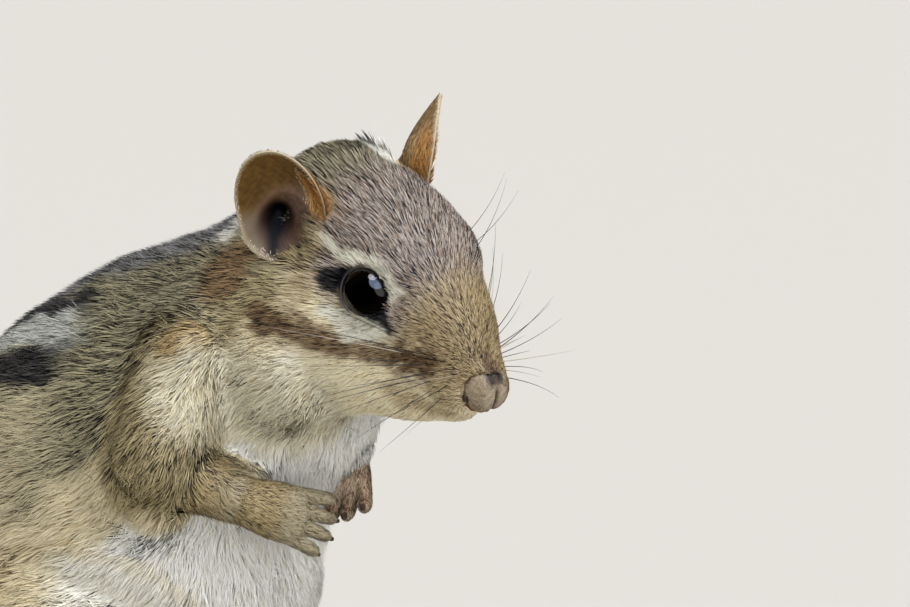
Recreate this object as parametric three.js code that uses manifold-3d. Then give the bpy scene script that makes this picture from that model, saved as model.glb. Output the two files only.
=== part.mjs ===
// An eastern chipmunk at life size, sitting on its haunches with its forepaws drawn up to its chest.
// Millimetres: the body faces +X, its left side is +Y, +Z is up, and the floor is at Z = 0.
import * as THREE from "three";
import { mergeVertices } from "three/addons/utils/BufferGeometryUtils.js";
import Module from "manifold-3d";

const wasm = await Module();
wasm.setup();

const at = (x, y, z) => new THREE.Vector3(x, y, z);

// Driving sizes
const GAP = 0.3; // left between pieces that touch
const FINE_STEP = 1.98; // facet size on the head
const COARSE_STEP = 4; // facet size on the body
const NOSE = at(0, -8, 58); // tip of the nose, over the floor
const HEAD_TURN = 11; // degrees, to the animal's right
const HEAD_PITCH = 33; // degrees, nose down
const HEAD_TILT = 15; // degrees, crown over to its right
const EYE_RADIUS = 4.2;
const EYE_PLACE = at(-20.7, 7.5, 4.1); // in the head's frame, the left one
const EYE_OUTWARD = at(0.42, 0.78, 0.44); // the way it looks
const NOSE_PLACE = at(-2.2, 0, -2);
const NOSE_RADII = at(2.5, 3.4, 3.3);
const NOSTRIL_PLACE = at(-1.3, 3.1, -2.3);
const EAR_HEIGHT = 18.5;
const EAR_WIDTH = 12.4;
const EAR_CUP = 3.5; // depth of the cup
const EAR_WALL = 0.9;
const TAIL_CORE = 0.46; // of the way out to the hair tips
const TAIL_LENGTH_STEP = 16; // between rings of locks
const LOCKS_ROUND = 5;
const LOCK_LENGTH = 26;
const LOCK_HALF_WIDTH = 4.1;

// Colours, roughness
const COLOURS = {
  crown: 0x8a7562,
  side: 0x9a8564,
  cheek: 0xcdb88a,
  belly: 0xe6e0d0,
  rump: 0xa0703f,
  ear: 0x8d6237,
  eye: 0x0a0808,
  nose: 0xa88f7c,
  paw: 0xa58a61,
  tail: 0x7d6248,
};

// Rounded minimum of two distances, blended over k.
function blend(a, b, k) {
  const near = Math.max(k - Math.abs(a - b), 0) / k;
  return Math.min(a, b) - (near * near * k) / 4;
}

// Smooth curve through values at rising stations, flat beyond the ends.
function through(stations, values) {
  const last = stations.length - 1;
  const slope = (i) => {
    const a = Math.max(i - 1, 0);
    const b = Math.min(i + 1, last);
    return (values[b] - values[a]) / (stations[b] - stations[a]);
  };
  return (x) => {
    if (x <= stations[0]) return values[0];
    if (x >= stations[last]) return values[last];
    let i = 0;
    while (x > stations[i + 1]) i += 1;
    const span = stations[i + 1] - stations[i];
    const t = (x - stations[i]) / span;
    const s = t * t * (3 - 2 * t);
    const bend = t * (1 - t) * span;
    return (
      values[i] * (1 - s) +
      values[i + 1] * s +
      bend * ((1 - t) * slope(i) - t * slope(i + 1))
    );
  };
}

// Distance fields, in millimetres, negative inside
const scratch = at(0, 0, 0);

// An ellipsoid, turned about its centre.
function egg(centre, radii, turn = new THREE.Quaternion()) {
  const back = turn.clone().invert();
  return (q) => {
    scratch.copy(q).sub(centre).applyQuaternion(back).divide(radii);
    const near = scratch.length();
    const steep = scratch.divide(radii).length();
    return (near * (near - 1)) / Math.max(steep, 1e-6);
  };
}

// A round cone from a to b, its width along Y multiplied by wide.
function cone(a, b, radiusA, radiusB, wide = 1) {
  const along = b.clone().sub(a);
  const length2 = along.lengthSq();
  return (q) => {
    scratch.copy(q).sub(a);
    const t = THREE.MathUtils.clamp(scratch.dot(along) / length2, 0, 1);
    scratch.addScaledVector(along, -t);
    scratch.y /= wide;
    return scratch.length() - radiusA - t * (radiusB - radiusA);
  };
}

// A run of round cones through [point, radius, wide] joints.
function chain(joints, k) {
  const cones = joints
    .slice(1)
    .map(([b, rb, wide = 1], i) => cone(joints[i][0], b, joints[i][1], rb, wide));
  return (q) => cones.map((f) => f(q)).reduce((a, b) => blend(a, b, k));
}

function mirrored(field) {
  const flipped = at(0, 0, 0);
  return (q) => field(flipped.set(q.x, -q.y, q.z));
}

// The head's own frame: nose tip at the origin, +X forward, +Y left, +Z to the crown.
const headTurn = new THREE.Quaternion().setFromEuler(
  new THREE.Euler(
    THREE.MathUtils.degToRad(HEAD_TILT),
    THREE.MathUtils.degToRad(HEAD_PITCH),
    -THREE.MathUtils.degToRad(HEAD_TURN),
    "ZYX",
  ),
);
const headFrame = new THREE.Matrix4().compose(NOSE, headTurn, at(1, 1, 1));
const toHead = headFrame.clone().invert();
const onHead = (x, y, z) => at(x, y, z).applyMatrix4(headFrame);

// The skull and its fur: top, underside and half width along the head, from nape to nose.
const HEAD_STATIONS = [-36, -28, -20, -14, -8, -3.2];
const headTop = through(HEAD_STATIONS, [13.8, 15.2, 13.2, 10.6, 7.4, 2.6]);
const headUnder = through(HEAD_STATIONS, [-15.5, -16.2, -13, -10, -7, -4.2]);
const headSide = through(HEAD_STATIONS, [12.4, 12.2, 10.4, 8.5, 6, 3.1]);

function skull(h) {
  const x = THREE.MathUtils.clamp(h.x, HEAD_STATIONS[0], HEAD_STATIONS.at(-1));
  const top = headTop(x);
  const under = headUnder(x);
  const half = (top - under) / 2;
  const side = headSide(x);
  const least = Math.min(half, side);
  return (
    (Math.hypot((h.x - x) / least, h.y / side, (h.z - (top + under) / 2) / half) - 1) *
    least
  );
}

const cheek = egg(at(-26, 8.2, -8.5), at(12.5, 7.2, 9.5));
const pouch = egg(at(-32, 9, -13.5), at(10, 7, 8.5));
const muzzlePad = egg(at(-7, 3.4, -3.4), at(5.2, 2.6, 3.2));
const brow = egg(at(-22, 5.6, 9), at(6.5, 2.8, 2.4));
const jowl = egg(at(-15, 4.5, -8.6), at(7.5, 4.6, 4));
const chin = egg(at(-9, 0, -7.8), at(5.6, 3.8, 3));
const headPairs = [
  [cheek, 5],
  [pouch, 5],
  [jowl, 4],
  [muzzlePad, 2.5],
  [brow, 3],
];
const inHead = at(0, 0, 0);
const sideOfHead = at(0, 0, 0);

function head(q) {
  inHead.copy(q).applyMatrix4(toHead);
  sideOfHead.set(inHead.x, Math.abs(inHead.y), inHead.z);
  let d = blend(skull(inHead), chin(inHead), 3);
  for (const [field, k] of headPairs) d = blend(d, field(sideOfHead), k);
  return d;
}

// The trunk along the back, rump to nape: X, Z, radius, and how much wider than high it is.
const SPINE = [
  [-89, 19, 18, 1.08],
  [-81, 34, 21, 1.02],
  [-67, 46.5, 21.5, 1],
  [-55, 55, 19.2, 0.98],
  [-43, 62, 15.5, 1],
  [-38, 68, 12.5, 1],
];
const trunk = chain(
  SPINE.map(([x, z, radius, wide]) => [at(x, 0, z), radius, wide]),
  8,
);
const belly = egg(at(-61, 0, 31), at(23, 21, 22));
const breast = egg(at(-47, 0, 49), at(13, 14.5, 15));
const neck = cone(at(-42, 0, 61), onHead(-31, 0, -7), 14.5, 11.5);

// Arms, each as held
const ARMS = {
  left: {
    shoulder: at(-46, 14.5, 60),
    elbow: at(-49, 20.5, 50),
    wrist: at(-36.5, 8.6, 44.6),
    knuckles: at(-33.9, 4.6, 41.2),
    fingers: at(0.3, -0.62, -0.72),
    palm: at(0.1, -0.75, 0.65),
  },
  right: {
    shoulder: at(-46, -14.5, 60),
    elbow: at(-47.5, -21, 47),
    wrist: at(-36, -14.5, 40.7),
    knuckles: at(-32.4, -9, 38.8),
    fingers: at(0.5, 0.8, -0.33),
    palm: at(-0.55, 0.7, -0.1),
  },
};

// Legs mirror each other; these are the left one's joints.
const KNEE = at(-60, 19.5, 19);
const HEEL = at(-82, 18.5, 5.2);
const TOES = at(-51, 21, 2.6);
const thigh = egg(
  at(-75, 17.5, 20),
  at(20, 10, 16),
  new THREE.Quaternion().setFromEuler(new THREE.Euler(0.16, 0.1, -0.06)),
);
const shin = chain([[KNEE, 7.5], [HEEL, 5]], 3);

const leg = (q) => blend(thigh(q), shin(q), 3);

function flesh(q) {
  let d = blend(trunk(q), belly(q), 8);
  d = blend(d, breast(q), 8);
  d = blend(d, neck(q), 9);
  return blend(d, head(q), 5);
}

// Surface of a field where it equals level, as one closed mesh: a vertex in each grid cell that the
// surface crosses, moved onto it, and a face across each grid edge that it crosses.
function surface(field, low, high, step, level = 0) {
  const counts = high.clone().sub(low).divideScalar(step).ceil().addScalar(1);
  const [nx, ny, nz] = counts.toArray();
  const values = new Float32Array(nx * ny * nz);
  const index = (i, j, k) => i + nx * (j + ny * k);
  const q = at(0, 0, 0);
  for (let k = 0; k < nz; k++)
    for (let j = 0; j < ny; j++)
      for (let i = 0; i < nx; i++) {
        q.set(i, j, k).multiplyScalar(step).add(low);
        values[index(i, j, k)] = field(q) - level;
      }
  const corners = [0, 1, 2, 3, 4, 5, 6, 7].map((c) => [c & 1, (c >> 1) & 1, c >> 2]);
  const edges = [];
  corners.forEach((a, i) =>
    corners.forEach((b, j) => {
      const apart = Math.abs(a[0] - b[0]) + Math.abs(a[1] - b[1]) + Math.abs(a[2] - b[2]);
      if (i < j && apart === 1) edges.push([i, j]);
    }),
  );
  const vertexOf = new Map();
  const positions = [];
  const probe = at(0, 0, 0);
  const slope = at(0, 0, 0);
  const onto = (point) => {
    const reach = step / 8;
    for (let turn = 0; turn < 3; turn++) {
      const d = field(probe.copy(point)) - level;
      for (const axis of ["x", "y", "z"]) {
        probe.copy(point)[axis] += reach;
        slope[axis] = (field(probe) - level - d) / reach;
      }
      const move = THREE.MathUtils.clamp(d / Math.max(slope.lengthSq(), 0.2), -step / 2, step / 2);
      point.addScaledVector(slope, -move);
    }
    return point;
  };
  for (let k = 0; k < nz - 1; k++)
    for (let j = 0; j < ny - 1; j++)
      for (let i = 0; i < nx - 1; i++) {
        const v = corners.map(([a, b, c]) => values[index(i + a, j + b, k + c)]);
        const sum = at(0, 0, 0);
        let crossings = 0;
        for (const [a, b] of edges)
          if (v[a] < 0 !== v[b] < 0) {
            const t = v[a] / (v[a] - v[b]);
            const from = at(...corners[a]);
            sum.add(from.lerp(at(...corners[b]), t));
            crossings += 1;
          }
        if (!crossings) continue;
        sum.divideScalar(crossings).add(at(i, j, k)).multiplyScalar(step).add(low);
        vertexOf.set(index(i, j, k), positions.length / 3);
        positions.push(...onto(sum).toArray());
      }
  const faces = [];
  const place = (n) => at(...positions.slice(3 * n, 3 * n + 3));
  const quad = (a, b, c, d, flip) => {
    const ring = flip ? [a, d, c, b] : [a, b, c, d];
    const [pa, pb, pc, pd] = ring.map(place);
    if (pa.distanceTo(pc) <= pb.distanceTo(pd))
      faces.push(ring[0], ring[1], ring[2], ring[0], ring[2], ring[3]);
    else faces.push(ring[1], ring[2], ring[3], ring[1], ring[3], ring[0]);
  };
  const steps = [[1, 0, 0], [0, 1, 0], [0, 0, 1]];
  for (let k = 1; k < nz - 1; k++)
    for (let j = 1; j < ny - 1; j++)
      for (let i = 1; i < nx - 1; i++)
        steps.forEach(([a, b, c], axis) => {
          const here = values[index(i, j, k)] < 0;
          if (here === values[index(i + a, j + b, k + c)] < 0) return;
          const u = steps[(axis + 1) % 3];
          const w = steps[(axis + 2) % 3];
          const cell = (m, n) =>
            vertexOf.get(
              index(i - m * u[0] - n * w[0], j - m * u[1] - n * w[1], k - m * u[2] - n * w[2]),
            );
          quad(cell(1, 1), cell(0, 1), cell(0, 0), cell(1, 0), !here);
        });
  return new THREE.BufferGeometry()
    .setAttribute("position", new THREE.Float32BufferAttribute(positions, 3))
    .setIndex(faces);
}

// A closed tube of elliptic sections along points. Each joint is [point, half width, half height];
// up says which way the height lies. Ends close on a point pushed out by cap times the half height.
function tube(joints, up, sides, cap = 0.7) {
  const centres = joints.map((j) => j[0]);
  const positions = [];
  const tangent = (i) =>
    centres[Math.min(i + 1, centres.length - 1)]
      .clone()
      .sub(centres[Math.max(i - 1, 0)])
      .normalize();
  joints.forEach(([centre, halfWidth, halfHeight], i) => {
    const forward = tangent(i);
    const across = forward.clone().cross(up).normalize();
    const over = across.clone().cross(forward);
    for (let s = 0; s < sides; s++) {
      const angle = (2 * Math.PI * s) / sides;
      positions.push(
        ...centre
          .clone()
          .addScaledVector(across, halfWidth * Math.cos(angle))
          .addScaledVector(over, halfHeight * Math.sin(angle))
          .toArray(),
      );
    }
  });
  const last = joints.length - 1;
  const tail = centres[0].clone().addScaledVector(tangent(0), -cap * joints[0][2]);
  const tip = centres[last].clone().addScaledVector(tangent(last), cap * joints[last][2]);
  const tailIndex = joints.length * sides;
  positions.push(...tail.toArray(), ...tip.toArray());
  const faces = [];
  for (let s = 0; s < sides; s++) {
    const t = (s + 1) % sides;
    for (let i = 0; i < last; i++) {
      const a = i * sides;
      faces.push(a + s, a + t, a + sides + t, a + s, a + sides + t, a + sides + s);
    }
    faces.push(tailIndex, t, s, tailIndex + 1, last * sides + s, last * sides + t);
  }
  return new THREE.BufferGeometry()
    .setAttribute("position", new THREE.Float32BufferAttribute(positions, 3))
    .setIndex(faces);
}

// Solids
function solid(geometry) {
  const bare = (geometry.index ? geometry.toNonIndexed() : geometry).clone();
  const only = new THREE.BufferGeometry().setAttribute("position", bare.getAttribute("position"));
  const merged = mergeVertices(only, 1e-4);
  const triVerts = new Uint32Array(merged.index.array);
  const make = () =>
    new wasm.Manifold(
      new wasm.Mesh({ numProp: 3, vertProperties: merged.attributes.position.array, triVerts }),
    );
  const made = make();
  if (made.volume() > 0) return made;
  for (let i = 0; i < triVerts.length; i += 3)
    [triVerts[i + 1], triVerts[i + 2]] = [triVerts[i + 2], triVerts[i + 1]];
  return make();
}

const largest = (made) =>
  made.decompose().reduce((a, b) => (a.volume() > b.volume() ? a : b));

const WORLD = 400;

// Everything on the side of a plane that its normal points to.
function beyond(point, normal) {
  const box = new THREE.BoxGeometry(WORLD, WORLD, WORLD).translate(0, 0, WORLD / 2);
  const turn = new THREE.Quaternion().setFromUnitVectors(at(0, 0, 1), normal.clone().normalize());
  return solid(box.applyQuaternion(turn).translate(point.x, point.y, point.z));
}

// An ellipsoid solid, larger all round by more.
function ball(centre, radii, turn = new THREE.Quaternion(), more = 0, detail = 18) {
  const shape = new THREE.SphereGeometry(1, detail, Math.round(detail / 2));
  shape.scale(radii.x + more, radii.y + more, radii.z + more).applyQuaternion(turn);
  return solid(shape.translate(centre.x, centre.y, centre.z));
}

const floor = beyond(at(0, 0, 0), at(0, 0, -1));
const mirrorY = (made) => made.mirror([0, 1, 0]);
const pieces = [];
const add = (name, made, colour, roughness = 0.85) =>
  pieces.push({ name, made: largest(made.subtract(floor)), colour, roughness });

// The body in one surface, and the same grown by the gap to cut what sits on it
const bodyLow = at(-114, -38, -6);
const bodyHigh = at(8, 38, 98);
const body = solid(surface(flesh, bodyLow, bodyHigh, COARSE_STEP));
const bodyGrown = solid(surface(flesh, bodyLow, bodyHigh, COARSE_STEP, GAP));
const headLow = at(-62, -42, 22);
const headHigh = at(8, 36, 102);
const headBack = { point: at(-40, 0, 13), normal: at(0.95, 0, 0.31) }; // in its own frame
const headFloor = { point: at(0, 0, -19.5), normal: at(0, 0, 1) };

function headCell(more) {
  return [headBack, headFloor]
    .map(({ point, normal }) =>
      beyond(
        point.clone().addScaledVector(normal, -more).applyMatrix4(headFrame),
        normal.clone().applyQuaternion(headTurn),
      ),
    )
    .reduce((a, b) => a.intersect(b));
}

function headCap(level) {
  const spare = 3;
  const behind = ({ point, normal }) => point.dot(normal) - normal.dot(inHead) - spare;
  const bounded = (q) => {
    const d = flesh(q);
    inHead.copy(q).applyMatrix4(toHead);
    return Math.max(d, behind(headBack), behind(headFloor));
  };
  return largest(
    solid(surface(bounded, headLow, headHigh, FINE_STEP, level)).intersect(headCell(0)),
  );
}
let headSolid = headCap(0);
const headGrown = headCap(GAP);

// Eyes, in sockets with a raised lid round each
function eyeParts(side) {
  const centre = onHead(EYE_PLACE.x, side * EYE_PLACE.y, EYE_PLACE.z);
  const outward = at(1, side, 1).multiply(EYE_OUTWARD).normalize().applyQuaternion(headTurn);
  const turn = new THREE.Quaternion().setFromUnitVectors(at(0, 0, 1), outward);
  const lid = new THREE.TorusGeometry(EYE_RADIUS * 0.87, 0.8, 6, 18);
  lid.translate(0, 0, EYE_RADIUS * 0.56).applyQuaternion(turn);
  return {
    eye: ball(centre, at(1, 1, 1).multiplyScalar(EYE_RADIUS), turn, 0, 16),
    socket: ball(centre, at(1, 1, 1).multiplyScalar(EYE_RADIUS), turn, GAP, 18),
    lid: solid(lid.translate(centre.x, centre.y, centre.z)),
  };
}

// Nose pad with its nostrils, over the lip line
const nosePad = ball(onHead(...NOSE_PLACE), NOSE_RADII, headTurn, 0, 14);
const nosePadGrown = ball(onHead(...NOSE_PLACE), NOSE_RADII, headTurn, GAP, 14);
function nostril(side) {
  const centre = onHead(NOSTRIL_PLACE.x, side * NOSTRIL_PLACE.y, NOSTRIL_PLACE.z);
  return ball(centre, at(1.2, 0.75, 0.9), headTurn, 0, 8);
}

// The mouth is a narrow groove from under the nose back to each corner.
function mouthLine() {
  const corners = [
    [-11.8, -5.2, -7.6],
    [-8, -4.4, -7.2],
    [-4.6, -2.8, -6.8],
    [-2.8, 0, -6.3],
  ];
  const other = corners.slice(0, -1).reverse().map(([x, y, z]) => [x, -y, z]);
  const joints = [...corners, ...other].map(([x, y, z]) => [onHead(x, y * 1.25, z), 0.9, 0.35]);
  return solid(tube(joints, at(0, 0, 1).applyQuaternion(headTurn), 6));
}

// An ear is a cup: rings of an egg-shaped outline, sunk in the middle, with an even wall.
function ear(side) {
  const upward = at(-0.36, side * 0.24, 0.9).normalize();
  const outward = at(0.62, side * 0.72, 0.12);
  outward.addScaledVector(upward, -outward.dot(upward)).normalize();
  const across = upward.clone().cross(outward);
  const centre = at(-32.7, side * 11.6, 2.5).addScaledVector(upward, EAR_HEIGHT * 0.42);
  const rings = 4;
  const around = 20;
  const point = (ring, step, back) => {
    const r = ring / rings;
    const angle = (2 * Math.PI * step) / around;
    const up = Math.sin(angle);
    const behind = side * Math.cos(angle) > 0;
    const low = behind ? 1 + 0.8 * (up * Math.cos(angle)) ** 2 : 1 - 0.3 * up * up;
    const width = (EAR_WIDTH / 2) * (up > 0 ? 1 : low);
    const deep = EAR_CUP * (1 - r * r) * (1 - 0.3 * up * r) + back * EAR_WALL * (1 - 0.35 * r);
    return centre
      .clone()
      .addScaledVector(across, r * width * Math.cos(angle))
      .addScaledVector(upward, (r * EAR_HEIGHT * up) / 2)
      .addScaledVector(outward, -deep)
      .applyMatrix4(headFrame);
  };
  const positions = [];
  const faces = [];
  for (const back of [0, 1]) {
    positions.push(...point(0, 0, back).toArray());
    for (let ring = 1; ring <= rings; ring++)
      for (let step = 0; step < around; step++)
        positions.push(...point(ring, step, back).toArray());
  }
  const sheet = 1 + rings * around;
  const corner = (ring, step, back) =>
    back * sheet + (ring ? 1 + (ring - 1) * around + (step % around) : 0);
  for (let step = 0; step < around; step++) {
    for (const back of [0, 1]) {
      const turn = (a, b, c) => (back ? faces.push(a, c, b) : faces.push(a, b, c));
      turn(corner(0, 0, back), corner(1, step, back), corner(1, step + 1, back));
      for (let ring = 1; ring < rings; ring++) {
        const [a, b] = [corner(ring, step, back), corner(ring, step + 1, back)];
        const [c, d] = [corner(ring + 1, step, back), corner(ring + 1, step + 1, back)];
        turn(a, c, d);
        turn(a, d, b);
      }
    }
    const [a, b] = [corner(rings, step, 0), corner(rings, step + 1, 0)];
    const [c, d] = [corner(rings, step, 1), corner(rings, step + 1, 1)];
    faces.push(a, c, d, a, d, b);
  }
  const geometry = new THREE.BufferGeometry()
    .setAttribute("position", new THREE.Float32BufferAttribute(positions, 3))
    .setIndex(faces);
  return solid(geometry).subtract(headGrown).subtract(bodyGrown.subtract(headCell(0)));
}

const left = eyeParts(1);
const right = eyeParts(-1);
headSolid = headSolid.add(left.lid).add(right.lid).subtract(left.socket).subtract(right.socket);
headSolid = headSolid.subtract(nosePadGrown).subtract(mouthLine());
const EAR_LEFT = ear(1);
const EAR_RIGHT = ear(-1);
add("head", headSolid, COLOURS.crown);
add("nose", nosePad.subtract(nostril(1)).subtract(nostril(-1)), COLOURS.nose, 0.5);
add("eye_left", left.eye, COLOURS.eye, 0.05);
add("eye_right", right.eye, COLOURS.eye, 0.05);
add("ear_left", EAR_LEFT, COLOURS.ear);
add("ear_right", EAR_RIGHT, COLOURS.ear);

// Trunk cells: cuts across the back
let rest = body.subtract(headCell(GAP));
const CUTS = [
  ["neck", at(-44, 0, 61), at(0.75, 0, 0.66), COLOURS.cheek],
  ["chest", at(-57, 0, 51), at(0.6, 0, 0.8), COLOURS.belly],
  ["belly", at(-78, 0, 34), at(0.85, 0, 0.5), COLOURS.belly],
];
for (const [name, point, normal, colour] of CUTS) {
  add(name, rest.intersect(beyond(point, normal)), colour);
  const lower = point.clone().addScaledVector(normal.clone().normalize(), -GAP);
  rest = rest.subtract(beyond(lower, normal));
}
add("hips", rest, COLOURS.rump);

// Forearm and hand
const FINGERS = 4;
function hand({ wrist, knuckles, fingers, palm }) {
  const into = palm.clone().normalize();
  const forward = fingers.clone().normalize();
  const across = forward.clone().cross(into).normalize();
  const palmJoints = [
    [wrist.clone().addScaledVector(forward, -1.5), 3.7, 3.2],
    [wrist.clone().lerp(knuckles, 0.5), 4.2, 2.9],
    [knuckles.clone(), 4.1, 2.4],
  ];
  let made = solid(tube(palmJoints, into, 8));
  for (let i = 0; i < FINGERS; i++) {
    const spread = (i - (FINGERS - 1) / 2) / (FINGERS - 1);
    const root = knuckles
      .clone()
      .addScaledVector(across, spread * 5.8)
      .addScaledVector(forward, -0.6);
    const reach = 6.2 - 5 * spread * spread;
    const joint = (t, curl) =>
      root
        .clone()
        .addScaledVector(forward, t * reach)
        .addScaledVector(across, spread * t * 0.9)
        .addScaledVector(into, curl);
    const finger = [
      [joint(0, 0), 1.3, 1.3],
      [joint(0.5, -0.3), 1.15, 1.15],
      [joint(0.9, 0.6), 0.95, 1.0],
    ];
    const claw = [
      [joint(0.9, 0.7), 0.42, 0.55],
      [joint(1.1, 1.6), 0.34, 0.42],
      [joint(1.1, 2.5), 0.25, 0.25],
    ];
    made = made.add(solid(tube(finger, into, 6))).add(solid(tube(claw, into, 4)));
  }
  return made;
}
function forearm({ elbow, wrist }) {
  const along = (t, drop) => elbow.clone().lerp(wrist, t).add(at(0, 0, -drop));
  return solid(
    tube(
      [
        [along(0.1, 0), 5.7, 5.7],
        [along(0.45, 0.4), 4.7, 4.7],
        [along(0.75, 0.2), 3.9, 3.9],
        [along(1, 0), 3.4, 3.4],
      ],
      at(0, 0, 1),
      10,
    ),
  );
}

function foot() {
  const up = at(0, 0, 1);
  const forward = TOES.clone().sub(HEEL).setZ(0).normalize();
  const across = forward.clone().cross(up);
  const along = (t, z) => HEEL.clone().lerp(TOES, t).setZ(z);
  let made = solid(
    tube(
      [
        [along(0, 3.6), 3.2, 3.9],
        [along(0.3, 3.2), 3.7, 3.6],
        [along(0.6, 2.6), 4.4, 3.0],
        [along(0.82, 2.1), 4.6, 2.4],
      ],
      up,
      10,
    ),
  );
  for (let i = 0; i < 5; i++) {
    const spread = (i - 2) / 4;
    const reach = 8.6 - 9 * spread * spread;
    const root = along(0.8, 1.9).addScaledVector(across, spread * 7);
    const joint = (t, z) =>
      root
        .clone()
        .addScaledVector(forward, t * reach)
        .addScaledVector(across, spread * t * 2.4)
        .setZ(z);
    const toe = [
      [joint(0, 1.9), 1.5, 1.6],
      [joint(0.5, 2.1), 1.25, 1.4],
      [joint(1, 1.1), 1.0, 1.1],
    ];
    const claw = [
      [joint(0.97, 1.5), 0.45, 0.55],
      [joint(1.2, 1.25), 0.38, 0.42],
      [joint(1.36, 0.55), 0.25, 0.25],
    ];
    made = made.add(solid(tube(toe, up, 5))).add(solid(tube(claw, up, 4)));
  }
  return made;
}

// Upper arms and legs, cut back to where they leave the trunk
const SIDES = ["left", "right"];
const LIMB_STEP = 3.5;
const reach = at(15, 15, 15);
const boxAbout = (...points) => {
  const box = new THREE.Box3().setFromPoints(points);
  return [box.min.sub(reach), box.max.add(reach)];
};
const legBox = boxAbout(at(-97, 7, 5), at(-54, 26, 32));
const legPair = [0, GAP].map((level) => solid(surface(leg, ...legBox, LIMB_STEP, level)));
let firstHand = null;
for (const name of SIDES) {
  const place = (made) => (name === "left" ? made : mirrorY(made));
  const arm = ARMS[name];
  const upper = cone(arm.shoulder, arm.elbow, 8.8, 6.6);
  const armBox = boxAbout(arm.shoulder, arm.elbow);
  const [upperArm, upperGrown] = [0, GAP].map((level) =>
    solid(surface(upper, ...armBox, LIMB_STEP, level)),
  );
  add(`upper_arm_${name}`, upperArm.subtract(bodyGrown), COLOURS.side);
  const cut = arm.wrist.clone().sub(arm.elbow).normalize();
  const past = arm.wrist.clone().addScaledVector(cut, GAP);
  const lower = forearm(arm).subtract(beyond(arm.wrist, cut)).subtract(upperGrown);
  add(`forearm_${name}`, lower.subtract(bodyGrown), COLOURS.side);
  let paw = hand(arm).intersect(beyond(past, cut)).subtract(bodyGrown);
  if (firstHand) paw = paw.subtract(firstHand);
  firstHand = paw;
  add(`hand_${name}`, paw, COLOURS.paw);
  add(`leg_${name}`, place(legPair[0]).subtract(bodyGrown), COLOURS.side);
  add(`foot_${name}`, place(foot().subtract(legPair[1])).subtract(bodyGrown), COLOURS.paw);
}

// Tail, laid along the floor behind
const tailLine = new THREE.CatmullRomCurve3([
  at(-97, 0, 14),
  at(-106, 0.5, 8.5),
  at(-120, 3, 6.2),
  at(-140, 8, 5.8),
  at(-160, 10, 5.8),
  at(-178, 6, 5.6),
  at(-190, -1, 5.2),
]);
const TAIL_STATIONS = [0, 0.12, 0.5, 0.82, 1];
const tailWidth = through(TAIL_STATIONS, [6.6, 7.6, 9.2, 8.4, 3.4]);
const tailHeight = through(TAIL_STATIONS, [6.2, 6, 5.8, 5.2, 3]);
const tailReach = (t) => {
  const over = Math.max(t - 1, 0) * tailLine.getLength();
  return tailLine
    .getPointAt(Math.min(t, 1))
    .addScaledVector(tailLine.getTangentAt(Math.min(t, 1)), over);
};
const TAIL_STEPS = 10;
const tailCore = solid(
  tube(
    Array.from({ length: TAIL_STEPS + 1 }, (_, i) => {
      const t = (0.96 * i) / TAIL_STEPS;
      const share = THREE.MathUtils.lerp(0.85, TAIL_CORE, THREE.MathUtils.smoothstep(t, 0, 0.15));
      return [tailReach(t), share * tailWidth(t), share * tailHeight(t)];
    }),
    at(0, 0, 1),
    8,
  ),
);

// Seeded scatter, from -1 to 1.
let seed = 41;
function scatter() {
  seed = (Math.imul(seed, 1664525) + 1013904223) >>> 0;
  return seed / 2 ** 31 - 1;
}

// A flat lock of hair that leaves the core at t and lies back along the tail.
function tailLock(t, angle) {
  const span = (LOCK_LENGTH * (1 + 0.12 * scatter())) / tailLine.getLength();
  const flare = 1 + 0.07 * scatter();
  const half = LOCK_HALF_WIDTH * (0.55 + 0.45 * THREE.MathUtils.smoothstep(t, 0, 0.3));
  const joint = (share, out, halfWidth, halfThick) => {
    const s = t + share * span;
    const forward = tailLine.getTangentAt(Math.min(s, 1));
    const across = at(0, 0, 1).cross(forward).normalize();
    const place = tailReach(s)
      .addScaledVector(across, out * tailWidth(s) * Math.cos(angle))
      .addScaledVector(at(0, 0, 1), out * tailHeight(s) * Math.sin(angle));
    return [place, halfWidth, halfThick];
  };
  const lie = at(0, 0, 1)
    .cross(tailLine.getTangentAt(t))
    .multiplyScalar(Math.cos(angle) * tailHeight(t))
    .addScaledVector(at(0, 0, 1), Math.sin(angle) * tailWidth(t))
    .normalize();
  const joints = [
    joint(0, 0.28, half * 0.55, 0.8),
    joint(0.35, 0.52, half, 0.85),
    joint(0.7, 0.84 * flare, half * 0.75, 0.6),
    joint(1, flare, 0.3, 0.28),
  ];
  return solid(tube(joints, lie, 4, 0.4));
}
const locks = [];
const rings = Math.floor(tailLine.getLength() / TAIL_LENGTH_STEP);
for (let ring = 1; ring < rings; ring++)
  for (let place = 0; place < LOCKS_ROUND; place++) {
    const turn = (place + 0.5 * (ring % 2) + 0.14 * scatter()) / LOCKS_ROUND;
    locks.push(tailLock((ring - 0.5 + 0.2 * scatter()) / rings, 2 * Math.PI * turn));
  }
const tailBody = locks.reduce((a, b) => a.add(b), tailCore).subtract(bodyGrown);
const TAIL_NODES = ["tail_base", "tail_middle", "tail_end"];
TAIL_NODES.forEach((name, i) => {
  let made = tailBody;
  if (i > 0) {
    const t = i / TAIL_NODES.length;
    const back = tailLine.getTangentAt(t);
    made = made.intersect(beyond(tailLine.getPointAt(t).addScaledVector(back, GAP), back));
  }
  if (i < TAIL_NODES.length - 1) {
    const t = (i + 1) / TAIL_NODES.length;
    made = made.subtract(beyond(tailLine.getPointAt(t), tailLine.getTangentAt(t)));
  }
  add(name, made, COLOURS.tail);
});

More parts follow.
